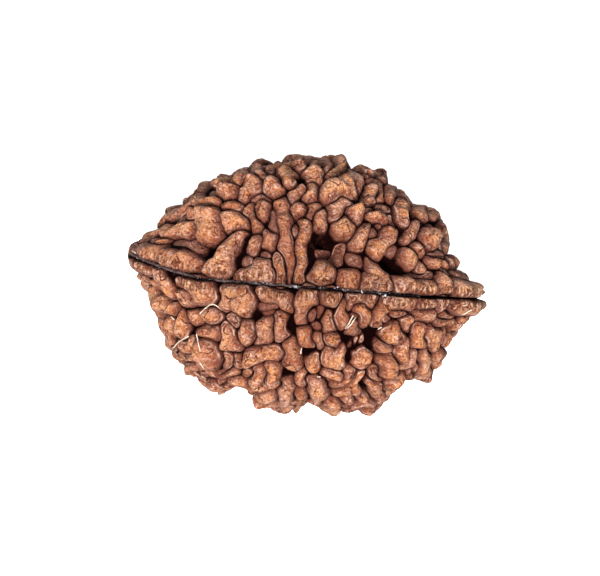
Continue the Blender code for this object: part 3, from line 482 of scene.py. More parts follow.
def samplesAlong(rows):
    found = [rows[:1]]
    for start, end in zip(rows[:-1], rows[1:]):
        steps = max(1, round(np.linalg.norm(end[:3] - start[:3]) / fill["sampleSpacing"]))
        found.append(start + (end - start) * np.linspace(1.0 / steps, 1.0, steps)[:, None])
    return np.concatenate(found)


def undersideLips(random):
    # blocks of the two lips of the mukh on the underside, divided by cross cuts
    lips = []
    for sideOfMukh in (-1.0, 1.0):
        x = -fill["lipReach"]
        while x < fill["lipReach"] - fill["lipEndRoom"]:
            length = random.uniform(*fill["lipLengths"])
            halfWidth = fill["lipHalfWidth"] * random.uniform(*fill["lipWidths"])
            path = []
            for place in (x, x + length):
                line = float(mukhLine(np.array(place), np.array(-body["halfHeight"])))
                path.append((place, line + sideOfMukh * (halfWidth + fill["lipOffset"]), halfWidth))
            lips.append(pathOnBody(path, -1))
            x += length + 2.0 * halfWidth + fill["lipGap"]
    return lips


def beakLip(path):
    # a lip from the upper face on over the tip of its beak
    rows = list(pathOnBody(path, 1))
    lastX, lastY, halfWidth = path[-1]
    end = math.copysign(1.0, lastX)
    sideOfMukh = math.copysign(1.0, lastY - mukhLine(lastX, 0.0))
    for degrees in fill["beakAngles"]:
        angle = math.radians(degrees)
        direction = np.array([[end * math.cos(angle), 0.0, math.sin(angle)]])
        x, y, z = (direction * baseRadius(direction))[0]
        y = float(mukhLine(x, z)) + sideOfMukh * (halfWidth + fill["lipOffset"])
        direction = np.array([[x, y, z]]) / math.hypot(x, y, z)
        rows.append(np.array([*(direction * baseRadius(direction))[0], halfWidth]))
    return np.array(rows)


def fillLobe(middle, angle, length, halfWidth):
    # a lobe of this length, a little bent, through the middle given as a direction
    east = np.cross(middle, (0.0, 0.0, 1.0) if abs(middle[2]) < fill["nearAxis"] else (1.0, 0.0, 0.0))
    east /= np.linalg.norm(east)
    north = np.cross(middle, east)
    along = math.cos(angle) * east + math.sin(angle) * north
    aside = np.cross(middle, along)
    radius = baseRadius(middle[None])[0]
    offsets = np.array((-0.5, 0.0, 0.5) if length else (0.0,))[:, None] * length / radius
    directions = middle + along * offsets + aside * fill["bend"] * np.abs(offsets)
    directions /= np.linalg.norm(directions, axis=1)[:, None]
    points = directions * baseRadius(directions)[:, None]
    return np.column_stack([points, np.full(len(points), halfWidth)])


def hasRoom(rows, taken):
    # clear of the mukh and of the lobes that are there already
    points = samplesAlong(rows)
    halfWidth = rows[0, 3]
    across = np.abs(points[:, 1] - mukhLine(points[:, 0], points[:, 2]))
    if (across < halfWidth + fill["lipOffset"]).any():
        return False
    gaps = np.linalg.norm(points[:, None, :3] - taken[None, :, :3], axis=2) - taken[None, :, 3]
    return gaps.min() > halfWidth * (1.0 - fill["overlap"])


def fillLobes(random, placed):
    # lobes wherever the bead is still bare, the large ones first
    numbers = np.arange(fill["places"]) + 0.5
    height = 1.0 - 2.0 * numbers / fill["places"]
    turn = numbers * math.pi * (1.0 + math.sqrt(5.0))
    ring = np.sqrt(1.0 - height**2)
    places = np.column_stack([ring * np.cos(turn), ring * np.sin(turn), height])
    points = places * baseRadius(places)[:, None]
    room = np.abs(points[:, 1] - mukhLine(points[:, 0], points[:, 2])) - fill["lipOffset"]
    taken = np.concatenate([samplesAlong(rows) for rows in placed])
    for row in taken:
        room = np.minimum(room, np.linalg.norm(points - row[:3], axis=1) - row[3])
    found = []
    for largest in fill["halfWidths"]:
        for place in random.permutation(fill["places"]):
            angle = random.uniform(0.0, math.pi)
            halfWidth = largest * random.uniform(*fill["widthRange"])
            if room[place] < halfWidth * (1.0 - fill["overlap"]) or height[place] > fill["highest"]:
                continue
            for length in fill["lengths"]:
                rows = fillLobe(places[place], angle, length, halfWidth)
                if hasRoom(rows, taken):
                    found.append(rows)
                    new = samplesAlong(rows)
                    taken = np.concatenate([taken, new])
                    for row in new:
                        room = np.minimum(room, np.linalg.norm(points - row[:3], axis=1) - row[3])
                    break
    return found


def allLobes():
    # every lobe and pit as (rows, share), where share is how far it stands out beside a proud one
    random = np.random.default_rng(lobeShape["seed"])
    lobes = [(pathOnBody(path, 1), 1.0) for path in faceLobes]
    lobes += [(beakLip(path), 1.0) for path in beakLobes]
    lobes += [(pathOnBody(path, 1), lobeShape["sunkShare"]) for path in sunkLobes]
    lobes += [(pathOnBody(path, 1), lobeShape["pitShare"]) for path in pits]
    lobes += [(rows, 1.0) for rows in undersideLips(random)]
    filled = fillLobes(random, [rows for rows, _ in lobes])
    return lobes + [(rows, random.uniform(*lobeShape["fillShares"])) for rows in filled]


def wobble(points):
    # long waves that give the lobes uneven outlines
    random = np.random.default_rng(lobeShape["seed"])
    count = lobeShape["wobbleWaves"]
    moved = points.copy()
    for _ in range(count):
        wave = random.normal(size=3)
        length = lobeShape["wobbleLength"] * random.uniform(*lobeShape["waveLengths"])
        wave *= 2.0 * math.pi / (np.linalg.norm(wave) * length)
        push = random.normal(size=3) * lobeShape["wobbleSize"] * math.sqrt(2.0 / count)
        moved += np.sin(points @ wave + random.uniform(0.0, 2.0 * math.pi))[:, None] * push
    return moved


def swell(points):
    # long waves, about 1 at most, that make the lobes of uneven height
    random = np.random.default_rng(lobeShape["seed"] + 1)
    total = np.zeros(len(points))
    for _ in range(lobeShape["wobbleWaves"]):
        wave = random.normal(size=3)
        length = lobeShape["swellLength"] * random.uniform(*lobeShape["waveLengths"])
        wave *= 2.0 * math.pi / (np.linalg.norm(wave) * length)
        total += np.sin(points @ wave + random.uniform(0.0, 2.0 * math.pi))
    return total * math.sqrt(2.0 / lobeShape["wobbleWaves"])


def pathDistance(points, rows):
    # distance to a lobe's edge line, and its half-width there
    best = np.linalg.norm(points - rows[0, :3], axis=1) - rows[0, 3]
    width = np.full(len(points), rows[0, 3])
    for start, end in zip(rows[:-1], rows[1:]):
        step = end[:3] - start[:3]
        along = np.clip((points - start[:3]) @ step / (step @ step), 0.0, 1.0)
        here = start[3] + along * (end[3] - start[3])
        distance = np.linalg.norm(points - start[:3] - along[:, None] * step, axis=1) - here
        nearer = distance < best
        best = np.where(nearer, distance, best)
        width = np.where(nearer, here, width)
    return best, width


class PointGrid:
    # the points sorted into columns of cells, so that those near a lobe are found at once
    across = 64  # cells on each side of the grid, with the middle of the bead in its middle

    def __init__(self, points, size):
        self.size = size
        cells = self.cellOf(points)
        self.order = np.lexsort((cells[:, 2], cells[:, 1], cells[:, 0]))
        self.keys = ((cells[:, 0] * self.across + cells[:, 1]) * self.across + cells[:, 2])[self.order]

    def cellOf(self, points):
        return np.floor(points / self.size).astype(int) + self.across // 2

    def near(self, low, high):
        first = self.cellOf(low)
        last = self.cellOf(high)
        found = []
        for i in range(first[0], last[0] + 1):
            for j in range(first[1], last[1] + 1):
                column = (i * self.across + j) * self.across
                start, end = np.searchsorted(self.keys, (column + first[2], column + last[2] + 1))
                found.append(self.order[start:end])
        return np.concatenate(found)


def smoothLeast(size, *values):
    # the least of some distances, rounded where two are alike
    raised = [np.maximum(value, lobeShape["leastDistance"]) for value in values]
    return -size * np.log(sum(np.exp(-value / size) for value in raised))


def hollowDepth(points):
    total = np.zeros(len(points))
    for x, y, reach, depth in faceHollows:
        apart = ((points - onBody(x, y, 1)) ** 2).sum(axis=1)
        total += depth * np.exp(-apart / reach**2)
    return total


def lobeField(points, lobes):
    # for each point of the bare body: how far it moves, how far it is from the nearest crease, and
    # which lobe it belongs to
    bare = points
    across = np.abs(bare[:, 1] - mukhLine(bare[:, 0], bare[:, 2]))
    tip = np.clip((np.abs(bare[:, 0]) - mukh["tipStart"]) / mukh["tipLength"], 0.0, 1.0)
    hook = np.clip((-bare[:, 0] - mukh["hookStart"]) / mukh["hookLength"], 0.0, 1.0)
    narrowing = np.where(bare[:, 0] > 0.0, tip, 0.0) * (mukh["tipHalfWidth"] - mukh["halfWidth"])
    mukhHalfWidth = mukh["halfWidth"] + narrowing
    mukhHalfWidth = mukhHalfWidth + hook * (mukh["hookHalfWidth"] - mukh["halfWidth"])
    points = wobble(points)
    grid = PointGrid(points, lobeShape["cell"])
    nearest = np.full(len(points), lobeShape["farAway"])
    closeness = np.full(len(points), lobeShape["noCloseness"])
    width = np.full(len(points), lobeShape["noHalfWidth"])
    share = np.zeros(len(points))
    grip = np.ones(len(points))
    owner = np.zeros(len(points), int)
    grips = np.random.default_rng(lobeShape["seed"] + 2).uniform(*lobeShape["grips"], len(lobes))
    for number, (rows, lobeShare) in enumerate(lobes):
        reach = rows[:, 3].max() + lobeShape["neighbourReach"]
        here = grid.near(rows[:, :3].min(axis=0) - reach, rows[:, :3].max(axis=0) + reach)
        distance, halfWidth = pathDistance(points[here], rows)
        distance = distance * grips[number]
        closer = distance < nearest[here]
        closeness[here] += np.exp(-distance / lobeShape["cornerRound"])
        nearest[here] = np.where(closer, distance, nearest[here])
        width[here] = np.where(closer, halfWidth, width[here])
        share[here] = np.where(closer, lobeShare, share[here])
        grip[here] = np.where(closer, grips[number], grip[here])
        owner[here] = np.where(closer, number, owner[here])
    others = closeness - np.exp(-nearest / lobeShape["cornerRound"])
    second = -lobeShape["cornerRound"] * np.log(np.maximum(others, lobeShape["noCloseness"]))
    ownEdge = lobeShape["spread"] - nearest
    sharedEdge = 0.5 * (second - nearest)
    mukhEdge = mukh["lipSteepness"] * (across - mukhHalfWidth)
    edge = smoothLeast(lobeShape["edgeRound"], ownEdge, sharedEdge, mukhEdge)
    inward = np.clip(1.0 - edge / (lobeShape["shoulder"] * width * grip), 0.0, 1.0)
    depth = mukh["depth"] + tip * (mukh["tipDepth"] - mukh["depth"])
    groove = depth * np.clip(1.0 - across / (mukhHalfWidth + mukh["bevel"]), 0.0, 1.0)
    profile = np.where(share > 0.0, np.sqrt(1.0 - inward**2), 1.0 - inward**2)
    uneven = 1.0 + lobeShape["swell"] * swell(points) + lobeShape["gripRise"] * (grip - 1.0)
    rise = share * lobeShape["rise"] * width * profile * uneven - groove
    ends = np.clip((np.abs(bare[:, 0]) - mukh["endStart"]) / mukh["endLength"], 0.0, 1.0)
    hollow = hollowDepth(bare)
    rise = rise * (1.0 + ends * (mukh["endRise"] - 1.0)) - hollow
    rise = np.maximum(rise, mukh["endFloor"] * ends + mukh["creaseFloor"] * (1.0 - ends))
    fromMukh = across - mukhHalfWidth
    return {"rise": rise, "edge": edge, "share": share, "owner": owner, "across": fromMukh, "hollow": hollow}


print("shape rules ready")


def newTree(name, inputs):
    # an empty tree with geometry in and out, and one named input for each size
    tree = bpy.data.node_groups.new(name, "GeometryNodeTree")
    tree.interface.new_socket("Geometry", in_out="INPUT", socket_type="NodeSocketGeometry")
    tree.interface.new_socket("Geometry", in_out="OUTPUT", socket_type="NodeSocketGeometry")
    for label, value in inputs.items():
        kind = "NodeSocketInt" if isinstance(value, int) else "NodeSocketFloat"
        tree.interface.new_socket(label, in_out="INPUT", socket_type=kind).default_value = value
    return tree, tree.nodes.new("NodeGroupInput"), tree.nodes.new("NodeGroupOutput")


def addNode(tree, kind, sockets=None, **settings):
    # a node with its settings, and its inputs set to a value or linked to another socket
    node = tree.nodes.new(kind)
    for name, value in settings.items():
        setattr(node, name, value)
    for socket, value in (sockets or {}).items():
        if isinstance(value, bpy.types.NodeSocket):
            tree.links.new(value, node.inputs[socket])
        else:
            node.inputs[socket].default_value = value
    return node


def addMath(tree, operation, *values, **settings):
    sockets = dict(enumerate(values))
    return addNode(tree, "ShaderNodeMath", sockets, operation=operation, **settings).outputs[0]


def addVectorMath(tree, operation, *values):
    return addNode(tree, "ShaderNodeVectorMath", dict(enumerate(values)), operation=operation).outputs[0]


def scaleVector(tree, vector, amount):
    return addNode(tree, "ShaderNodeVectorMath", {0: vector, "Scale": amount}, operation="SCALE").outputs[0]


def readPoint(tree, name):
    # a value kept on the points, read inside a Geometry Nodes tree
    return addNode(tree, "GeometryNodeInputNamedAttribute", {"Name": name}, data_type="FLOAT").outputs[0]


def movePoints(tree, geometry, offset):
    return addNode(tree, "GeometryNodeSetPosition", {"Geometry": geometry, "Offset": offset}).outputs[0]


def noiseVector(tree, place, scale, detail, strength):
    # a direction that changes from place to place, up to about the strength long
    sockets = {"Vector": place, "Scale": scale, "Detail": detail}
    waves = addNode(tree, "ShaderNodeTexNoise", sockets).outputs["Color"]
    return scaleVector(tree, addVectorMath(tree, "SUBTRACT", waves, (0.5, 0.5, 0.5)), strength)


def endTree(tree, output, geometry, material):
    # every tree ends with real geometry and its material
    real = addNode(tree, "GeometryNodeRealizeInstances", {0: geometry})
    dressed = addNode(tree, "GeometryNodeSetMaterial", {"Geometry": real.outputs[0], "Material": material})
    tree.links.new(dressed.outputs[0], output.inputs[0])


def runTree(mesh, tree, values, name):
    # runs the tree on a mesh and returns a plain object with the result
    source = bpy.data.objects.new(name + "_source", mesh)
    bpy.context.scene.collection.objects.link(source)
    modifier = source.modifiers.new(tree.name, "NODES")
    modifier.node_group = tree
    for item in tree.interface.items_tree:
        if item.in_out == "INPUT" and item.name in values:
            modifier[item.identifier] = values[item.name]
    graph = bpy.context.evaluated_depsgraph_get()
    result = bpy.data.meshes.new_from_object(source.evaluated_get(graph))
    bpy.data.objects.remove(source)
    result.name = name
    piece = bpy.data.objects.new(name, result)
    bpy.context.scene.collection.objects.link(piece)
    return piece


def meshPoints(mesh):
    points = np.empty(len(mesh.vertices) * 3, np.float32)
    mesh.vertices.foreach_get("co", points)
    return points.reshape(-1, 3).astype(float)


def setPoints(mesh, points):
    mesh.vertices.foreach_set("co", points.astype(np.float32).ravel())
    mesh.update()


def setAttribute(mesh, name, values):
    mesh.attributes.new(name, "FLOAT", "POINT").data.foreach_set("value", values.astype(np.float32))


# The bead's surface: a fine sphere moved out to the body and its lobes, then thinned
surface = {
    "sphereLevels": 9,
    "mostTriangles": 196000,
    "seatDepth": 8.95,
    "creaseReach": 0.6,  # distance from a crease at which the finish is that of an open lobe
    "tintSeed": 7,
}


def fineBead(lobes):
    # returns the mesh, in metres where it lies, and the shift that put it there
    mesh = bpy.data.meshes.new("beadSphere")
    shape = bmesh.new()
    bmesh.ops.create_icosphere(shape, subdivisions=surface["sphereLevels"], radius=1.0)
    shape.to_mesh(mesh)
    shape.free()
    directions = meshPoints(mesh)
    directions /= np.linalg.norm(directions, axis=1)[:, None]
    radius = baseRadius(directions)
    radius = radius + lobeField(directions * radius[:, None], lobes)["rise"]
    points = directions * radius[:, None]
    shift = -0.5 * (points.min(axis=0) + points.max(axis=0))
    shift[2] = surface["seatDepth"]
    points += shift
    points[:, 2] = np.maximum(points[:, 2], 0.0)
    setPoints(mesh, points * millimetre)
    print("lobes raised", len(lobes))
    sphere = bpy.data.objects.new("beadSphere", mesh)
    bpy.context.scene.collection.objects.link(sphere)
    thin = sphere.modifiers.new("thin", "DECIMATE")
    thin.ratio = surface["mostTriangles"] / len(mesh.polygons)
    graph = bpy.context.evaluated_depsgraph_get()
    thinned = bpy.data.meshes.new_from_object(sphere.evaluated_get(graph))
    bpy.data.objects.remove(sphere)
    print("surface thinned", len(thinned.polygons))
    return thinned, shift


def markSurface(mesh, shift, lobes):
    # what the finish needs to know about each point
    points = meshPoints(mesh) / millimetre - shift
    directions = points / np.linalg.norm(points, axis=1)[:, None]
    base = directions * baseRadius(directions)[:, None]
    field = lobeField(base, lobes)
    random = np.random.default_rng(surface["tintSeed"])
    tints = random.uniform(0.0, 1.0, len(lobes))
    clear = np.where(field["share"] > 0.0, field["edge"], 0.0)
    setAttribute(mesh, "crease", np.clip(clear / surface["creaseReach"], 0.0, 1.0))
    setAttribute(mesh, "tint", tints[field["owner"]])
    setAttribute(mesh, "share", np.clip(field["share"], 0.0, 1.0))
    setAttribute(mesh, "mukh", np.clip(field["across"], 0.0, 1.0))
    setAttribute(mesh, "hollow", np.clip(field["hollow"], 0.0, 1.0))


# Leathery relief of the lobes: shallow dents, fine wrinkles and pin pores, in metres
relief = {
    "Dent Size": 0.0009,
    "Dent Depth": 0.00007,
    "Wrinkle Size": 0.0008,
    "Wrinkle Depth": 0.00006,
    "Pore Size": 0.0004,
    "Pore Depth": 0.00003,
    "Seed": 4,
}


def reliefTree(material):
    tree, given, output = newTree("leatheryRelief", relief)
    place = addNode(tree, "GeometryNodeInputPosition").outputs[0]
    normal = addNode(tree, "GeometryNodeInputNormal").outputs[0]
    shifted = addVectorMath(tree, "ADD", place, given.outputs["Seed"])
    # the relief fades out towards the creases
    proud = {"Value": readPoint(tree, "crease"), "From Max": 0.35}
    proud = addNode(tree, "ShaderNodeMapRange", proud).outputs[0]

    def noiseOf(size, detail):
        scale = addMath(tree, "DIVIDE", 1.0, given.outputs[size])
        sockets = {"Vector": shifted, "Scale": scale, "Detail": detail, "Roughness": 0.55}
        return addNode(tree, "ShaderNodeTexNoise", sockets).outputs[0]

    def sunkBelow(value, limit):
        # -1 where the value is 0, and 0 from the limit up
        sockets = {"Value": value, "From Max": limit, "To Min": -1.0, "To Max": 0.0}
        return addNode(tree, "ShaderNodeMapRange", sockets).outputs[0]

    waves = addMath(tree, "SUBTRACT", noiseOf("Dent Size", 2.0), 0.5)
    dents = addMath(tree, "MULTIPLY", addMath(tree, "MULTIPLY", waves, given.outputs["Dent Depth"]), 2.0)
    ridge = addMath(tree, "ABSOLUTE", addMath(tree, "SUBTRACT", noiseOf("Wrinkle Size", 3.0), 0.5))
    wrinkles = addMath(tree, "MULTIPLY", sunkBelow(ridge, 0.05), given.outputs["Wrinkle Depth"])
    scale = addMath(tree, "DIVIDE", 1.0, given.outputs["Pore Size"])
    cells = addNode(tree, "ShaderNodeTexVoronoi", {"Vector": shifted, "Scale": scale}, feature="F1")
    pores = addMath(tree, "MULTIPLY", sunkBelow(cells.outputs["Distance"], 0.45), given.outputs["Pore Depth"])
    total = addMath(tree, "ADD", addMath(tree, "ADD", dents, wrinkles), pores)
    total = addMath(tree, "MULTIPLY", total, proud)
    moved = movePoints(tree, given.outputs["Geometry"], scaleVector(tree, normal, total))
    endTree(tree, output, moved, material)
    return tree


# Finish of the bead
shellFinish = {
    "warm": (0.60, 0.21, 0.062, 1.0),
    "ruddy": (0.27, 0.066, 0.030, 1.0),
    "dusty": (0.37, 0.205, 0.170, 1.0),
    # painted shade for folds, hollows, sunk lobes and the sides of the creases
    "deep": (0.10, 0.019, 0.010, 1.0),
    # painted shadow at the bottoms of the creases and of the mukh
    "creaseShadowBlack": (0.006, 0.0016, 0.0016, 1.0),
    # a painted highlight, on the pimples of the grain and in a rim beside some creases
    "paleHighlight": (0.86, 0.56, 0.43, 1.0),
    # lobe tops painted paler: partly wear, partly a painted highlight
    "wearAndHighlight": (0.78, 0.37, 0.150, 1.0),
    "pink": (0.72, 0.44, 0.37, 1.0),
    "gloss": (1.0, 0.86, 0.78, 1.0),
    # gloss taken out of the crease bottoms, as painted shadow
    "noGloss": (0.0, 0.0, 0.0, 1.0),
    # dark specks, also painted shade in the pits of the grain
    "speckAndPitShade": (0.10, 0.024, 0.013, 1.0),
    # painted shade round the two poles
    "paintedPoleShade": (0.085, 0.020, 0.007, 1.0),
    "roughness": 0.40,
    "creaseRoughness": 0.8,
    "specular": 0.45,
    "bumpHeight": 0.00023,  # in metres, as the next three are
    "middle": 0.0094,  # height of the bead's middle
    "poleStart": 0.0055,  # distances from it over which the painted shade round the poles grows
    "poleEnd": 0.0088,
    "poleShare": 0.36,
}


def newMaterial(name):
    material = bpy.data.materials.new(name)
    material.use_nodes = True
    tree = material.node_tree
    return material, tree, tree.nodes["Principled BSDF"]


def mixColour(tree, amount, first, second):
    node = addNode(tree, "ShaderNodeMix", {"Factor": amount}, data_type="RGBA")
    for socket, value in ((node.inputs[6], first), (node.inputs[7], second)):
        if isinstance(value, bpy.types.NodeSocket):
            tree.links.new(value, socket)
        else:
            socket.default_value = value
    return node.outputs[2]


def mapRange(tree, value, low, high, toLow=0.0, toHigh=1.0, kind="LINEAR"):
    sockets = {"Value": value, "From Min": low, "From Max": high, "To Min": toLow, "To Max": toHigh}
    return addNode(tree, "ShaderNodeMapRange", sockets, interpolation_type=kind).outputs[0]


def objectNoise(tree, size, detail=3.0, shift=0.0, distortion=0.0, squeeze=(1.0, 1.0, 1.0)):
    # noise whose features are about this many millimetres across, or drawn out where squeeze is below 1
    place = addNode(tree, "ShaderNodeTexCoord").outputs["Object"]
    scale = 1.0 / (size * millimetre)
    moved = {"Vector": place, "Location": (shift, shift, -shift), "Scale": squeeze}
    mapped = addNode(tree, "ShaderNodeMapping", moved).outputs[0]
    sockets = {"Vector": mapped, "Scale": scale, "Detail": detail, "Roughness": 0.6, "Distortion": distortion}
    return addNode(tree, "ShaderNodeTexNoise", sockets).outputs[0]


def readAttribute(tree, name):
    return addNode(tree, "ShaderNodeAttribute", attribute_name=name).outputs["Fac"]


def foldLines(tree):
    # thin lines of painted shade, for creases that cut some of the lobes, from 0 to 1
    folds = addMath(tree, "ABSOLUTE", addMath(tree, "SUBTRACT", objectNoise(tree, 1.7, 2.0, 5.3, 0.4), 0.5))
    lines = mapRange(tree, folds, 0.014, 0.0, 0.0, 0.9)
    someLobes = mapRange(tree, objectNoise(tree, 1.5, 2.0, 3.1), 0.46, 0.54)
    return addMath(tree, "MULTIPLY", lines, someLobes)


def fineGrain(tree, mukhSide):
    # height of the leathery grain, about 0 to 1: pimples, pits, thin creases here and there, and
    # streaks across the lips of the mukh
    specks = objectNoise(tree, 0.22, 4.0, 0.7)
    fine = objectNoise(tree, 0.12, 2.0, 0.9)
    streaks = mapRange(tree, objectNoise(tree, 0.3, 3.0, 4.2, 0.2, (1.4, 0.25, 0.8)), 0.3, 0.7, -0.8, 0.6)
    streaks = addMath(tree, "MULTIPLY", streaks, mapRange(tree, mukhSide, 1.0, 0.6))
    specks = mapRange(tree, specks, 0.25, 0.75)
    fine = mapRange(tree, fine, 0.25, 0.75, -0.2, 0.2)
    grain = addMath(tree, "SUBTRACT", addMath(tree, "ADD", specks, fine), foldLines(tree))
    return addMath(tree, "ADD", grain, streaks)


def nearPoles(tree):
    # painted shade: the bead is painted darker round its two poles than on its flanks
    finish = shellFinish
    place = addNode(tree, "ShaderNodeTexCoord").outputs["Object"]
    height = addNode(tree, "ShaderNodeSeparateXYZ", {"Vector": place}).outputs["Z"]
    away = addMath(tree, "ABSOLUTE", addMath(tree, "SUBTRACT", height, finish["middle"]))
    return mapRange(tree, away, finish["poleStart"], finish["poleEnd"], 0.0, finish["poleShare"])


def shellMaterial():
    material, tree, shader = newMaterial("rudrakshaShell")
    finish = shellFinish
    crease = readAttribute(tree, "crease")
    tint = readAttribute(tree, "tint")
    share = readAttribute(tree, "share")
    mukhSide = readAttribute(tree, "mukh")
    hollow = readAttribute(tree, "hollow")
    broad = objectNoise(tree, 4.0, 3.0)
    patches = objectNoise(tree, 1.1, 4.0, 0.3)
    mottle = objectNoise(tree, 0.38, 3.0, 2.3)
    grain = fineGrain(tree, mukhSide)
    wavy = addMath(tree, "ADD", crease, mapRange(tree, patches, 0.3, 0.7, -0.05, 0.05))
    # the shell itself, in patches, with old skin left on some lobes
    colour = mixColour(tree, mapRange(tree, patches, 0.38, 0.66), finish["warm"], finish["ruddy"])
    dustyParts = mapRange(tree, broad, 0.45, 0.7, 0.0, 0.5)
    dustyLobes = mapRange(tree, tint, 0.6, 1.0, 0.0, 0.5)
    sunkLobe = mapRange(tree, share, 0.4, 0.9, 0.8, 0.0)
    dusty = addMath(tree, "ADD", dustyParts, dustyLobes)
    dusty = addMath(tree, "MAXIMUM", dusty, sunkLobe, use_clamp=True)
    colour = mixColour(tree, addMath(tree, "MULTIPLY", dusty, 0.7), colour, finish["dusty"])
    # tops of the lobes painted paler, partly wear and partly a painted highlight
    proud = addMath(tree, "MULTIPLY", mapRange(tree, crease, 0.4, 1.0), mapRange(tree, patches, 0.75, 0.35))
    colour = mixColour(tree, addMath(tree, "MULTIPLY", proud, 0.8), colour, finish["wearAndHighlight"])
    skin = mapRange(tree, objectNoise(tree, 0.9, 3.0, 7.7), 0.5, 0.68, 0.0, 0.6)
    colour = mixColour(tree, skin, colour, finish["dusty"])
    # small marks: mottling, pits and pimples of the grain
    colour = mixColour(tree, mapRange(tree, mottle, 0.54, 0.68, 0.0, 0.7), colour, finish["pink"])
    # small marks: mottling at random, and the grain painted darker in its pits and paler on its pimples,
    # partly real specks and partly painted shade and highlight
    colour = mixColour(tree, mapRange(tree, mottle, 0.48, 0.35, 0.0, 0.9), colour, finish["ruddy"])
    colour = mixColour(tree, mapRange(tree, grain, 0.42, 0.1, 0.0, 0.85), colour, finish["speckAndPitShade"])
    colour = mixColour(tree, mapRange(tree, grain, 0.60, 0.9, 0.0, 0.85), colour, finish["paleHighlight"])
    # painted shade round the poles
    colour = mixColour(tree, nearPoles(tree), colour, finish["paintedPoleShade"])
    # darker lobes at random, painted shade on the folds, the hollows, the sunk lobes and along the creases,
    # and a pale rim here and there beside a crease, partly wear and partly a painted highlight
    rimHighlightBand = addMath(tree, "MULTIPLY", mapRange(tree, wavy, 0.13, 0.18), mapRange(tree, wavy, 0.28, 0.2))
    rimPlaces = mapRange(tree, objectNoise(tree, 1.6, 3.0, 1.7), 0.52, 0.66, 0.0, 0.6)
    rimHighlightBand = addMath(tree, "MULTIPLY", rimHighlightBand, rimPlaces)
    colour = mixColour(tree, mapRange(tree, tint, 0.3, 0.0, 0.0, 0.4), colour, finish["ruddy"])
    # painted shade along the fold lines
    colour = mixColour(tree, foldLines(tree), colour, finish["deep"])
    # painted shade: darker in the hollows of the upper face and on the sunk lobes
    hollowShade = mapRange(tree, hollow, 0.04, 0.6, 0.0, 0.85)
    low = addMath(tree, "MAXIMUM", hollowShade, mapRange(tree, share, 0.38, 0.7, 0.45, 0.0))
    colour = mixColour(tree, low, colour, finish["deep"])
    # painted shade that darkens each lobe towards its creases
    colour = mixColour(tree, mapRange(tree, wavy, 0.6, 0.02, 0.0, 0.93, "SMOOTHSTEP"), colour, finish["deep"])
    # painted highlight in the pale rim band
    colour = mixColour(tree, rimHighlightBand, colour, finish["paleHighlight"])
    # painted shadow: the bottoms of the creases and of the mukh are painted nearly black and their gloss is
    # taken away
    outsideCreaseShadow = addMath(tree, "MINIMUM", wavy, mapRange(tree, mukhSide, -0.02, 0.5))
    outsideCreaseShadow = mapRange(tree, outsideCreaseShadow, 0.02, 0.12)
    colour = mixColour(tree, outsideCreaseShadow, finish["creaseShadowBlack"], colour)
    gloss = mixColour(tree, outsideCreaseShadow, finish["noGloss"], finish["gloss"])
    roughness = mapRange(tree, wavy, 0.5, 0.0, finish["roughness"], finish["creaseRoughness"])
    tree.links.new(colour, shader.inputs["Base Color"])
    tree.links.new(gloss, shader.inputs["Specular Tint"])
    tree.links.new(roughness, shader.inputs["Roughness"])
    shader.inputs["Specular IOR Level"].default_value = finish["specular"]
    grainSockets = {"Height": grain, "Distance": finish["bumpHeight"], "Strength": 1.0}
    bump = addNode(tree, "ShaderNodeBump", grainSockets).outputs[0]
    tree.links.new(bump, shader.inputs["Normal"])
    return material


lobes = allLobes()
print("lobes placed", len(lobes))
beadSurface, beadShift = fineBead(lobes)
markSurface(beadSurface, beadShift, lobes)
shell = runTree(beadSurface, reliefTree(shellMaterial()), relief, "bead_shell")
settled = meshPoints(shell.data)
settled[:, 2] = np.maximum(settled[:, 2], 0.0)
setPoints(shell.data, settled)
shell.data.shade_smooth()
print("fine relief added")


# Dry fibres that cling to the lobes, and the dark strand that fills the mukh between the poles
litter = {
    "fibreLift": 0.06,
    "fibreSize": 0.045,
    "strandLift": 0.38,
    "strandSize": 0.075,
    "strandEnds": (-13.9, 8.6),
    "strandStep": 0.12,
    "hookThickening": 0.7,  # how much thicker the strand is at its hooked end, as a share
    "fibreSmoothing": 5,  # steps over which the height of a fibre and of the strand is evened out
    "strandSmoothing": 9,
    "dropHeight": 30.0,
    "dropSides": (-0.05, 0.0, 0.05),
    "crumbsPerStep": 5,
    "crumbTones": (0.0, 0.1, 0.4, 0.9),
    "largeCrumbTones": (1.0, 0.7, 1.0, 0.5),
    "seed": 8,
}
fibrePaths = (  # x and y of each fibre, seen from above
    ((-8.2, -2.85), (-7.95, -2.5), (-7.6, -2.15), (-7.2, -1.93), (-6.8, -2.15), (-6.45, -2.4)),
    ((-8.85, -4.55), (-9.6, -5.0), (-10.2, -5.75)),
    ((-8.35, -4.3), (-8.1, -5.2), (-7.9, -5.7)),
    ((-7.95, -6.5), (-7.5, -7.0)),
    ((3.6, -1.9), (3.4, -2.4), (3.05, -3.1)),
    ((3.8, -2.05), (3.6, -2.5), (3.2, -3.05)),
    ((5.5, -2.95), (5.9, -2.7)),
    ((4.0, 0.05), (4.2, -0.3)),
    ((-13.95, 1.7), (-13.4, 1.4)),
    ((-13.6, 1.2), (-13.3, 1.05)),
    ((12.0, -1.35), (12.75, -0.8)),
    ((-10.45, -3.15), (-10.1, -3.45)),
    ((-0.18, -4.7), (-0.2, -5.3)),
    ((1.1, -6.9), (1.5, -6.9)),
)
crumbPlaces = (  # x, y and size of the larger pale crumbs
    (-8.8, 0.15, 0.05),
    (-8.5, -0.05, 0.04),
    (-7.2, -0.25, 0.03),
    (-5.1, -0.25, 0.03),
    (-3.9, -0.3, 0.04),
    (-3.7, -0.2, 0.03),
    (-1.05, -0.15, 0.06),
    (2.1, 0.05, 0.03),
    (5.8, -0.35, 0.04),
)
thread = {"Spacing": 0.00008, "Kink": 0.00006, "Kink Size": 0.0006, "Seed": 3}
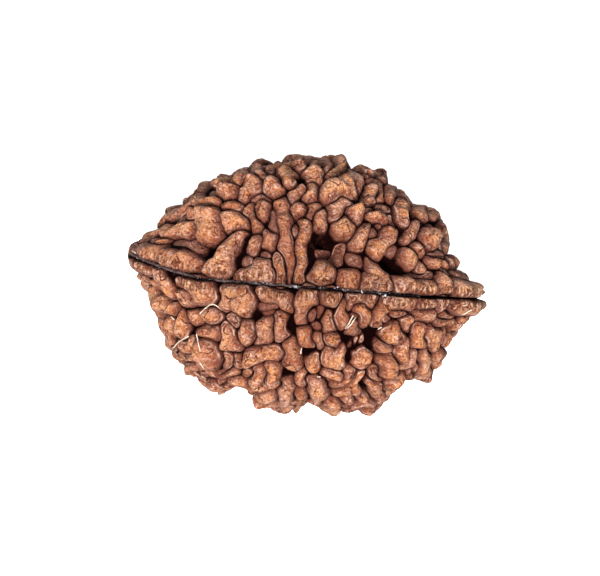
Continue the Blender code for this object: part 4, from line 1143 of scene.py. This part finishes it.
grit = {
    "Chance": 0.55,
    "Scatter": 0.00011,
    "Least Size": 0.00002,
    "Most Size": 0.00005,
    "Dent": 0.00003,
    "Seed": 6,
}
gritShape = {
    "flatness": (1.0, 1.0, 0.4),  # the scatter is less in height
    "turn": (6.28, 6.28, 6.28),
    "dentScale": 14000.0,
    "dentGain": 4.0,
}


def shellTree():
    # the finished surface, in millimetres from the middle, ready for rays
    points = meshPoints(shell.data) / millimetre - beadShift
    faces = [tuple(face.vertices) for face in shell.data.polygons]
    return BVHTree.FromPolygons([tuple(point) for point in points], faces)


def dropOn(surfaceTree, x, y, lift):
    # the point of the surface under (x, y), raised by the lift; None beside the bead
    starts = [Vector((x, y + aside, litter["dropHeight"])) for aside in litter["dropSides"]]
    hits = [surfaceTree.ray_cast(start, Vector((0.0, 0.0, -1.0)))[0] for start in starts]
    hits = [hit for hit in hits if hit is not None]
    if not hits:
        return None
    lowest = min(hits, key=lambda hit: hit.z)
    return x, y, lowest.z + lift


def pathMesh(name, paths):
    # a mesh of edges with the size and tone of each point; rows are x, y, z, size and tone
    mesh = bpy.data.meshes.new(name)
    rows = np.array([row for path in paths for row in path])
    edges = []
    first = 0
    for path in paths:
        edges += [(first + step, first + step + 1) for step in range(len(path) - 1)]
        first += len(path)
    mesh.from_pydata([tuple(point) for point in (rows[:, :3] + beadShift) * millimetre], edges, [])
    setAttribute(mesh, "size", rows[:, 3] * millimetre)
    setAttribute(mesh, "tone", rows[:, 4])
    return mesh


def fibreRows(surfaceTree):
    # each fibre as points that lie on the lobes and bridge the creases between them
    window = litter["fibreSmoothing"]
    paths = []
    for path in fibrePaths:
        rows = []
        for start, end in zip(path[:-1], path[1:]):
            steps = max(2, round(math.dist(start, end) / litter["strandStep"]))
            for step in range(steps + (end == path[-1])):
                part = step / steps
                place = (start[0] + part * (end[0] - start[0]), start[1] + part * (end[1] - start[1]))
                point = dropOn(surfaceTree, *place, litter["fibreLift"])
                if point is not None:
                    rows.append((*point, litter["fibreSize"], 1.0))
        heights = np.pad([row[2] for row in rows], window - 1, "edge")
        bridged = [heights[start:start + window].max() for start in range(len(heights) - window + 1)]
        smooth = np.convolve(bridged, np.ones(window) / window, "valid")
        places = np.pad([row[:2] for row in rows], ((window // 2, window // 2), (0, 0)), "edge")
        curved = [places[start:start + window].mean(axis=0) for start in range(len(rows))]
        paths.append([(*place, height, *row[3:]) for row, place, height in zip(rows, curved, smooth)])
    return paths


def strandRows(surfaceTree):
    # along the mukh, thicker at its hooked end
    low, high = litter["strandEnds"]
    window = litter["strandSmoothing"]
    rows = []
    for x in np.arange(low, high, litter["strandStep"]):
        y = float(mukhLine(x, 0.0))
        point = dropOn(surfaceTree, x, y, litter["strandLift"])
        hook = min(1.0, max(0.0, (-mukh["hookStart"] - x) / mukh["hookLength"]))
        rows.append((*point, litter["strandSize"] * (1.0 + litter["hookThickening"] * hook), 0.0))
    heights = np.array([row[2] for row in rows])
    smooth = np.convolve(np.pad(heights, window // 2, "edge"), np.ones(window) / window, "valid")
    return [(row[0], row[1], height, *row[3:]) for row, height in zip(rows, smooth)]


def threadTree(material):
    # a kinked thread along every path, as thick as the size at each point
    tree, given, output = newTree("driedThreads", thread)
    size = readPoint(tree, "size")
    curve = addNode(tree, "GeometryNodeMeshToCurve", {"Mesh": given.outputs["Geometry"]}).outputs[0]
    steps = {"Curve": curve, "Length": given.outputs["Spacing"]}
    finer = addNode(tree, "GeometryNodeResampleCurve", steps, mode="LENGTH").outputs[0]
    place = addNode(tree, "GeometryNodeInputPosition").outputs[0]
    scale = addMath(tree, "DIVIDE", 1.0, given.outputs["Kink Size"])
    shifted = addVectorMath(tree, "ADD", place, given.outputs["Seed"])
    push = noiseVector(tree, shifted, scale, 2.0, addMath(tree, "MULTIPLY", given.outputs["Kink"], 2.0))
    kinked = movePoints(tree, finer, push)
    circle = addNode(tree, "GeometryNodeCurvePrimitiveCircle", {"Resolution": 7, "Radius": 1.0}).outputs[0]
    sized = addNode(tree, "GeometryNodeSetCurveRadius", {"Curve": kinked, "Radius": size}).outputs[0]
    skin = {"Curve": sized, "Profile Curve": circle, "Scale": size, "Fill Caps": True}
    solid = addNode(tree, "GeometryNodeCurveToMesh", skin).outputs[0]
    endTree(tree, output, solid, material)
    return tree


def gritTree(material):
    # uneven crumbs scattered round the points, each as large as chance and the point's size make it
    tree, given, output = newTree("mukhCrumbs", grit)

    def randomly(kind, sockets):
        sockets["Seed"] = given.outputs["Seed"]
        return addNode(tree, "FunctionNodeRandomValue", sockets, data_type=kind)

    keep = randomly("BOOLEAN", {"Probability": given.outputs["Chance"]}).outputs[3]
    spread = scaleVector(tree, gritShape["flatness"], given.outputs["Scatter"])
    least = scaleVector(tree, spread, -1.0)
    push = randomly("FLOAT_VECTOR", {"Min": least, "Max": spread}).outputs[0]
    moved = movePoints(tree, given.outputs["Geometry"], push)
    ball = addNode(tree, "GeometryNodeMeshIcoSphere", {"Radius": 1.0, "Subdivisions": 2}).outputs[0]
    turn = randomly("FLOAT_VECTOR", {"Max": gritShape["turn"]}).outputs[0]
    chance = randomly("FLOAT", {2: given.outputs["Least Size"], 3: given.outputs["Most Size"]}).outputs[1]
    scale = addMath(tree, "ADD", chance, readPoint(tree, "size"))
    sockets = {"Points": moved, "Selection": keep, "Instance": ball, "Rotation": turn, "Scale": scale}
    placed = addNode(tree, "GeometryNodeInstanceOnPoints", sockets).outputs[0]
    real = addNode(tree, "GeometryNodeRealizeInstances", {0: placed}).outputs[0]
    place = addNode(tree, "GeometryNodeInputPosition").outputs[0]
    strength = addMath(tree, "MULTIPLY", given.outputs["Dent"], gritShape["dentGain"])
    dented = movePoints(tree, real, noiseVector(tree, place, gritShape["dentScale"], 1.0, strength))
    endTree(tree, output, dented, material)
    return tree


litterFinish = {
    "dark": (0.020, 0.010, 0.012, 1.0),
    "brown": (0.085, 0.045, 0.040, 1.0),
    "straw": (0.72, 0.60, 0.48, 1.0),
    "chalk": (0.50, 0.52, 0.62, 1.0),
    "roughness": 0.75,
}


def litterMaterial(name, pale):
    # tone 0 is the dark strand, tone 1 is a pale fibre or crumb
    material, tree, shader = newMaterial(name)
    tone = readAttribute(tree, "tone")
    spots = objectNoise(tree, 0.25, 3.0, 0.4)
    dark = mixColour(tree, mapRange(tree, spots, 0.42, 0.6), litterFinish["dark"], litterFinish["brown"])
    soiled = mapRange(tree, spots, 0.3, 0.7, 0.0, 0.5)
    light = mixColour(tree, soiled, litterFinish[pale], litterFinish["brown"])
    tree.links.new(mixColour(tree, tone, dark, light), shader.inputs["Base Color"])
    shader.inputs["Roughness"].default_value = litterFinish["roughness"]
    return material


surfaceTree = shellTree()
strand = strandRows(surfaceTree)
threadMesh = pathMesh("threadPaths", fibreRows(surfaceTree) + [strand])
strands = runTree(threadMesh, threadTree(litterMaterial("dryFibre", "straw")), thread, "dry_strands")
strands.data.shade_smooth()
random = np.random.default_rng(litter["seed"])
crumbRows = []
for row in strand:
    for _ in range(litter["crumbsPerStep"]):
        crumbRows.append((*row[:3], 0.0, random.choice(litter["crumbTones"])))
for x, y, size in crumbPlaces:
    place = dropOn(surfaceTree, x, y, litter["strandLift"])
    crumbRows += [(*place, size, tone) for tone in litter["largeCrumbTones"]]
crumbMesh = pathMesh("crumbPoints", [[row] for row in crumbRows])
crumbs = runTree(crumbMesh, gritTree(litterMaterial("dryCrumb", "chalk")), grit, "mukh_crumbs")
print("fibres and crumbs laid", len(strands.data.polygons), len(crumbs.data.polygons))


# Floor, light and camera
stage = {
    "floorSize": 1.2,
    "floorColour": (0.9, 0.9, 0.9, 1.0),
    "floorGlow": 0.9,
    "floorRoughness": 0.9,
    "floorSpecular": 0.1,
    "worldColour": (1.0, 1.0, 1.0, 1.0),
    "worldStrength": 0.42,
    "aimHeight": 0.009,  # the point of the bead that the lights face, in metres
}
photoView = {
    "turn": 4.5,  # degrees that the bead is turned in the picture
    "right": -0.664,  # where the picture's middle is, from the bead's middle, in mm
    "up": -0.156,
    "fieldWidth": 46.875,  # millimetres across the picture at the bead's outline
    "lens": 300.0,
    "clip": (0.01, 10.0),  # in metres
}


def makeFloor():
    half = 0.5 * stage["floorSize"]
    shape = bmesh.new()
    corners = [shape.verts.new((x * half, y * half, 0.0)) for x, y in ((-1, -1), (1, -1), (1, 1), (-1, 1))]
    shape.faces.new(corners)
    mesh = bpy.data.meshes.new("floor")
    shape.to_mesh(mesh)
    shape.free()
    floor = bpy.data.objects.new("floor", mesh)
    bpy.context.scene.collection.objects.link(floor)
    material, tree, shader = newMaterial("plainFloor")
    shader.inputs["Base Color"].default_value = stage["floorColour"]
    shader.inputs["Roughness"].default_value = stage["floorRoughness"]
    shader.inputs["Specular IOR Level"].default_value = stage["floorSpecular"]
    shader.inputs["Emission Color"].default_value = (1.0, 1.0, 1.0, 1.0)
    shader.inputs["Emission Strength"].default_value = stage["floorGlow"]
    mesh.materials.append(material)
    floor.visible_diffuse = False
    floor.visible_glossy = False


def makeWorld():
    world = bpy.data.worlds.new("studio")
    world.use_nodes = True
    background = world.node_tree.nodes["Background"]
    background.inputs["Color"].default_value = stage["worldColour"]
    background.inputs["Strength"].default_value = stage["worldStrength"]
    bpy.context.scene.world = world


lights = {  # place and size in metres, power in watts
    "key": {"place": (-0.02, -0.12, 0.34), "size": 0.07, "power": 3.05, "colour": (1.0, 0.97, 0.93)},
    "back": {"place": (-0.10, 0.30, 0.16), "size": 0.22, "power": 0.45, "colour": (0.88, 0.93, 1.0)},
}


def makeLight(name, light):
    lamp = bpy.data.lights.new(name, "AREA")
    lamp.size = light["size"]
    lamp.energy = light["power"]
    lamp.color = light["colour"]
    holder = bpy.data.objects.new(name, lamp)
    holder.location = light["place"]
    fromBead = Vector(light["place"]) - Vector((0.0, 0.0, stage["aimHeight"]))
    holder.rotation_euler = fromBead.to_track_quat("Z", "Y").to_euler()
    bpy.context.scene.collection.objects.link(holder)


def makeCamera():
    turn = math.radians(photoView["turn"])
    right = np.array((math.cos(turn), math.sin(turn), 0.0))
    up = np.array((-math.sin(turn), math.cos(turn), 0.0))
    aim = beadShift + right * photoView["right"] + up * photoView["up"]
    camera = bpy.data.cameras.new("camera")
    camera.lens = photoView["lens"]
    distance = photoView["fieldWidth"] * camera.lens / camera.sensor_width
    camera.clip_start, camera.clip_end = photoView["clip"]
    holder = bpy.data.objects.new("camera", camera)
    holder.location = Vector(aim + (0.0, 0.0, distance)) * millimetre
    holder.rotation_euler = (0.0, 0.0, turn)
    bpy.context.scene.collection.objects.link(holder)
    bpy.context.scene.camera = holder


makeFloor()
makeWorld()
for name, light in lights.items():
    makeLight(name, light)
makeCamera()
bpy.context.scene.view_settings.view_transform = "Standard"
print("stage set")

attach(shell, "root")
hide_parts("bead")
for piece in (strands, crumbs):
    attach(piece, "root")
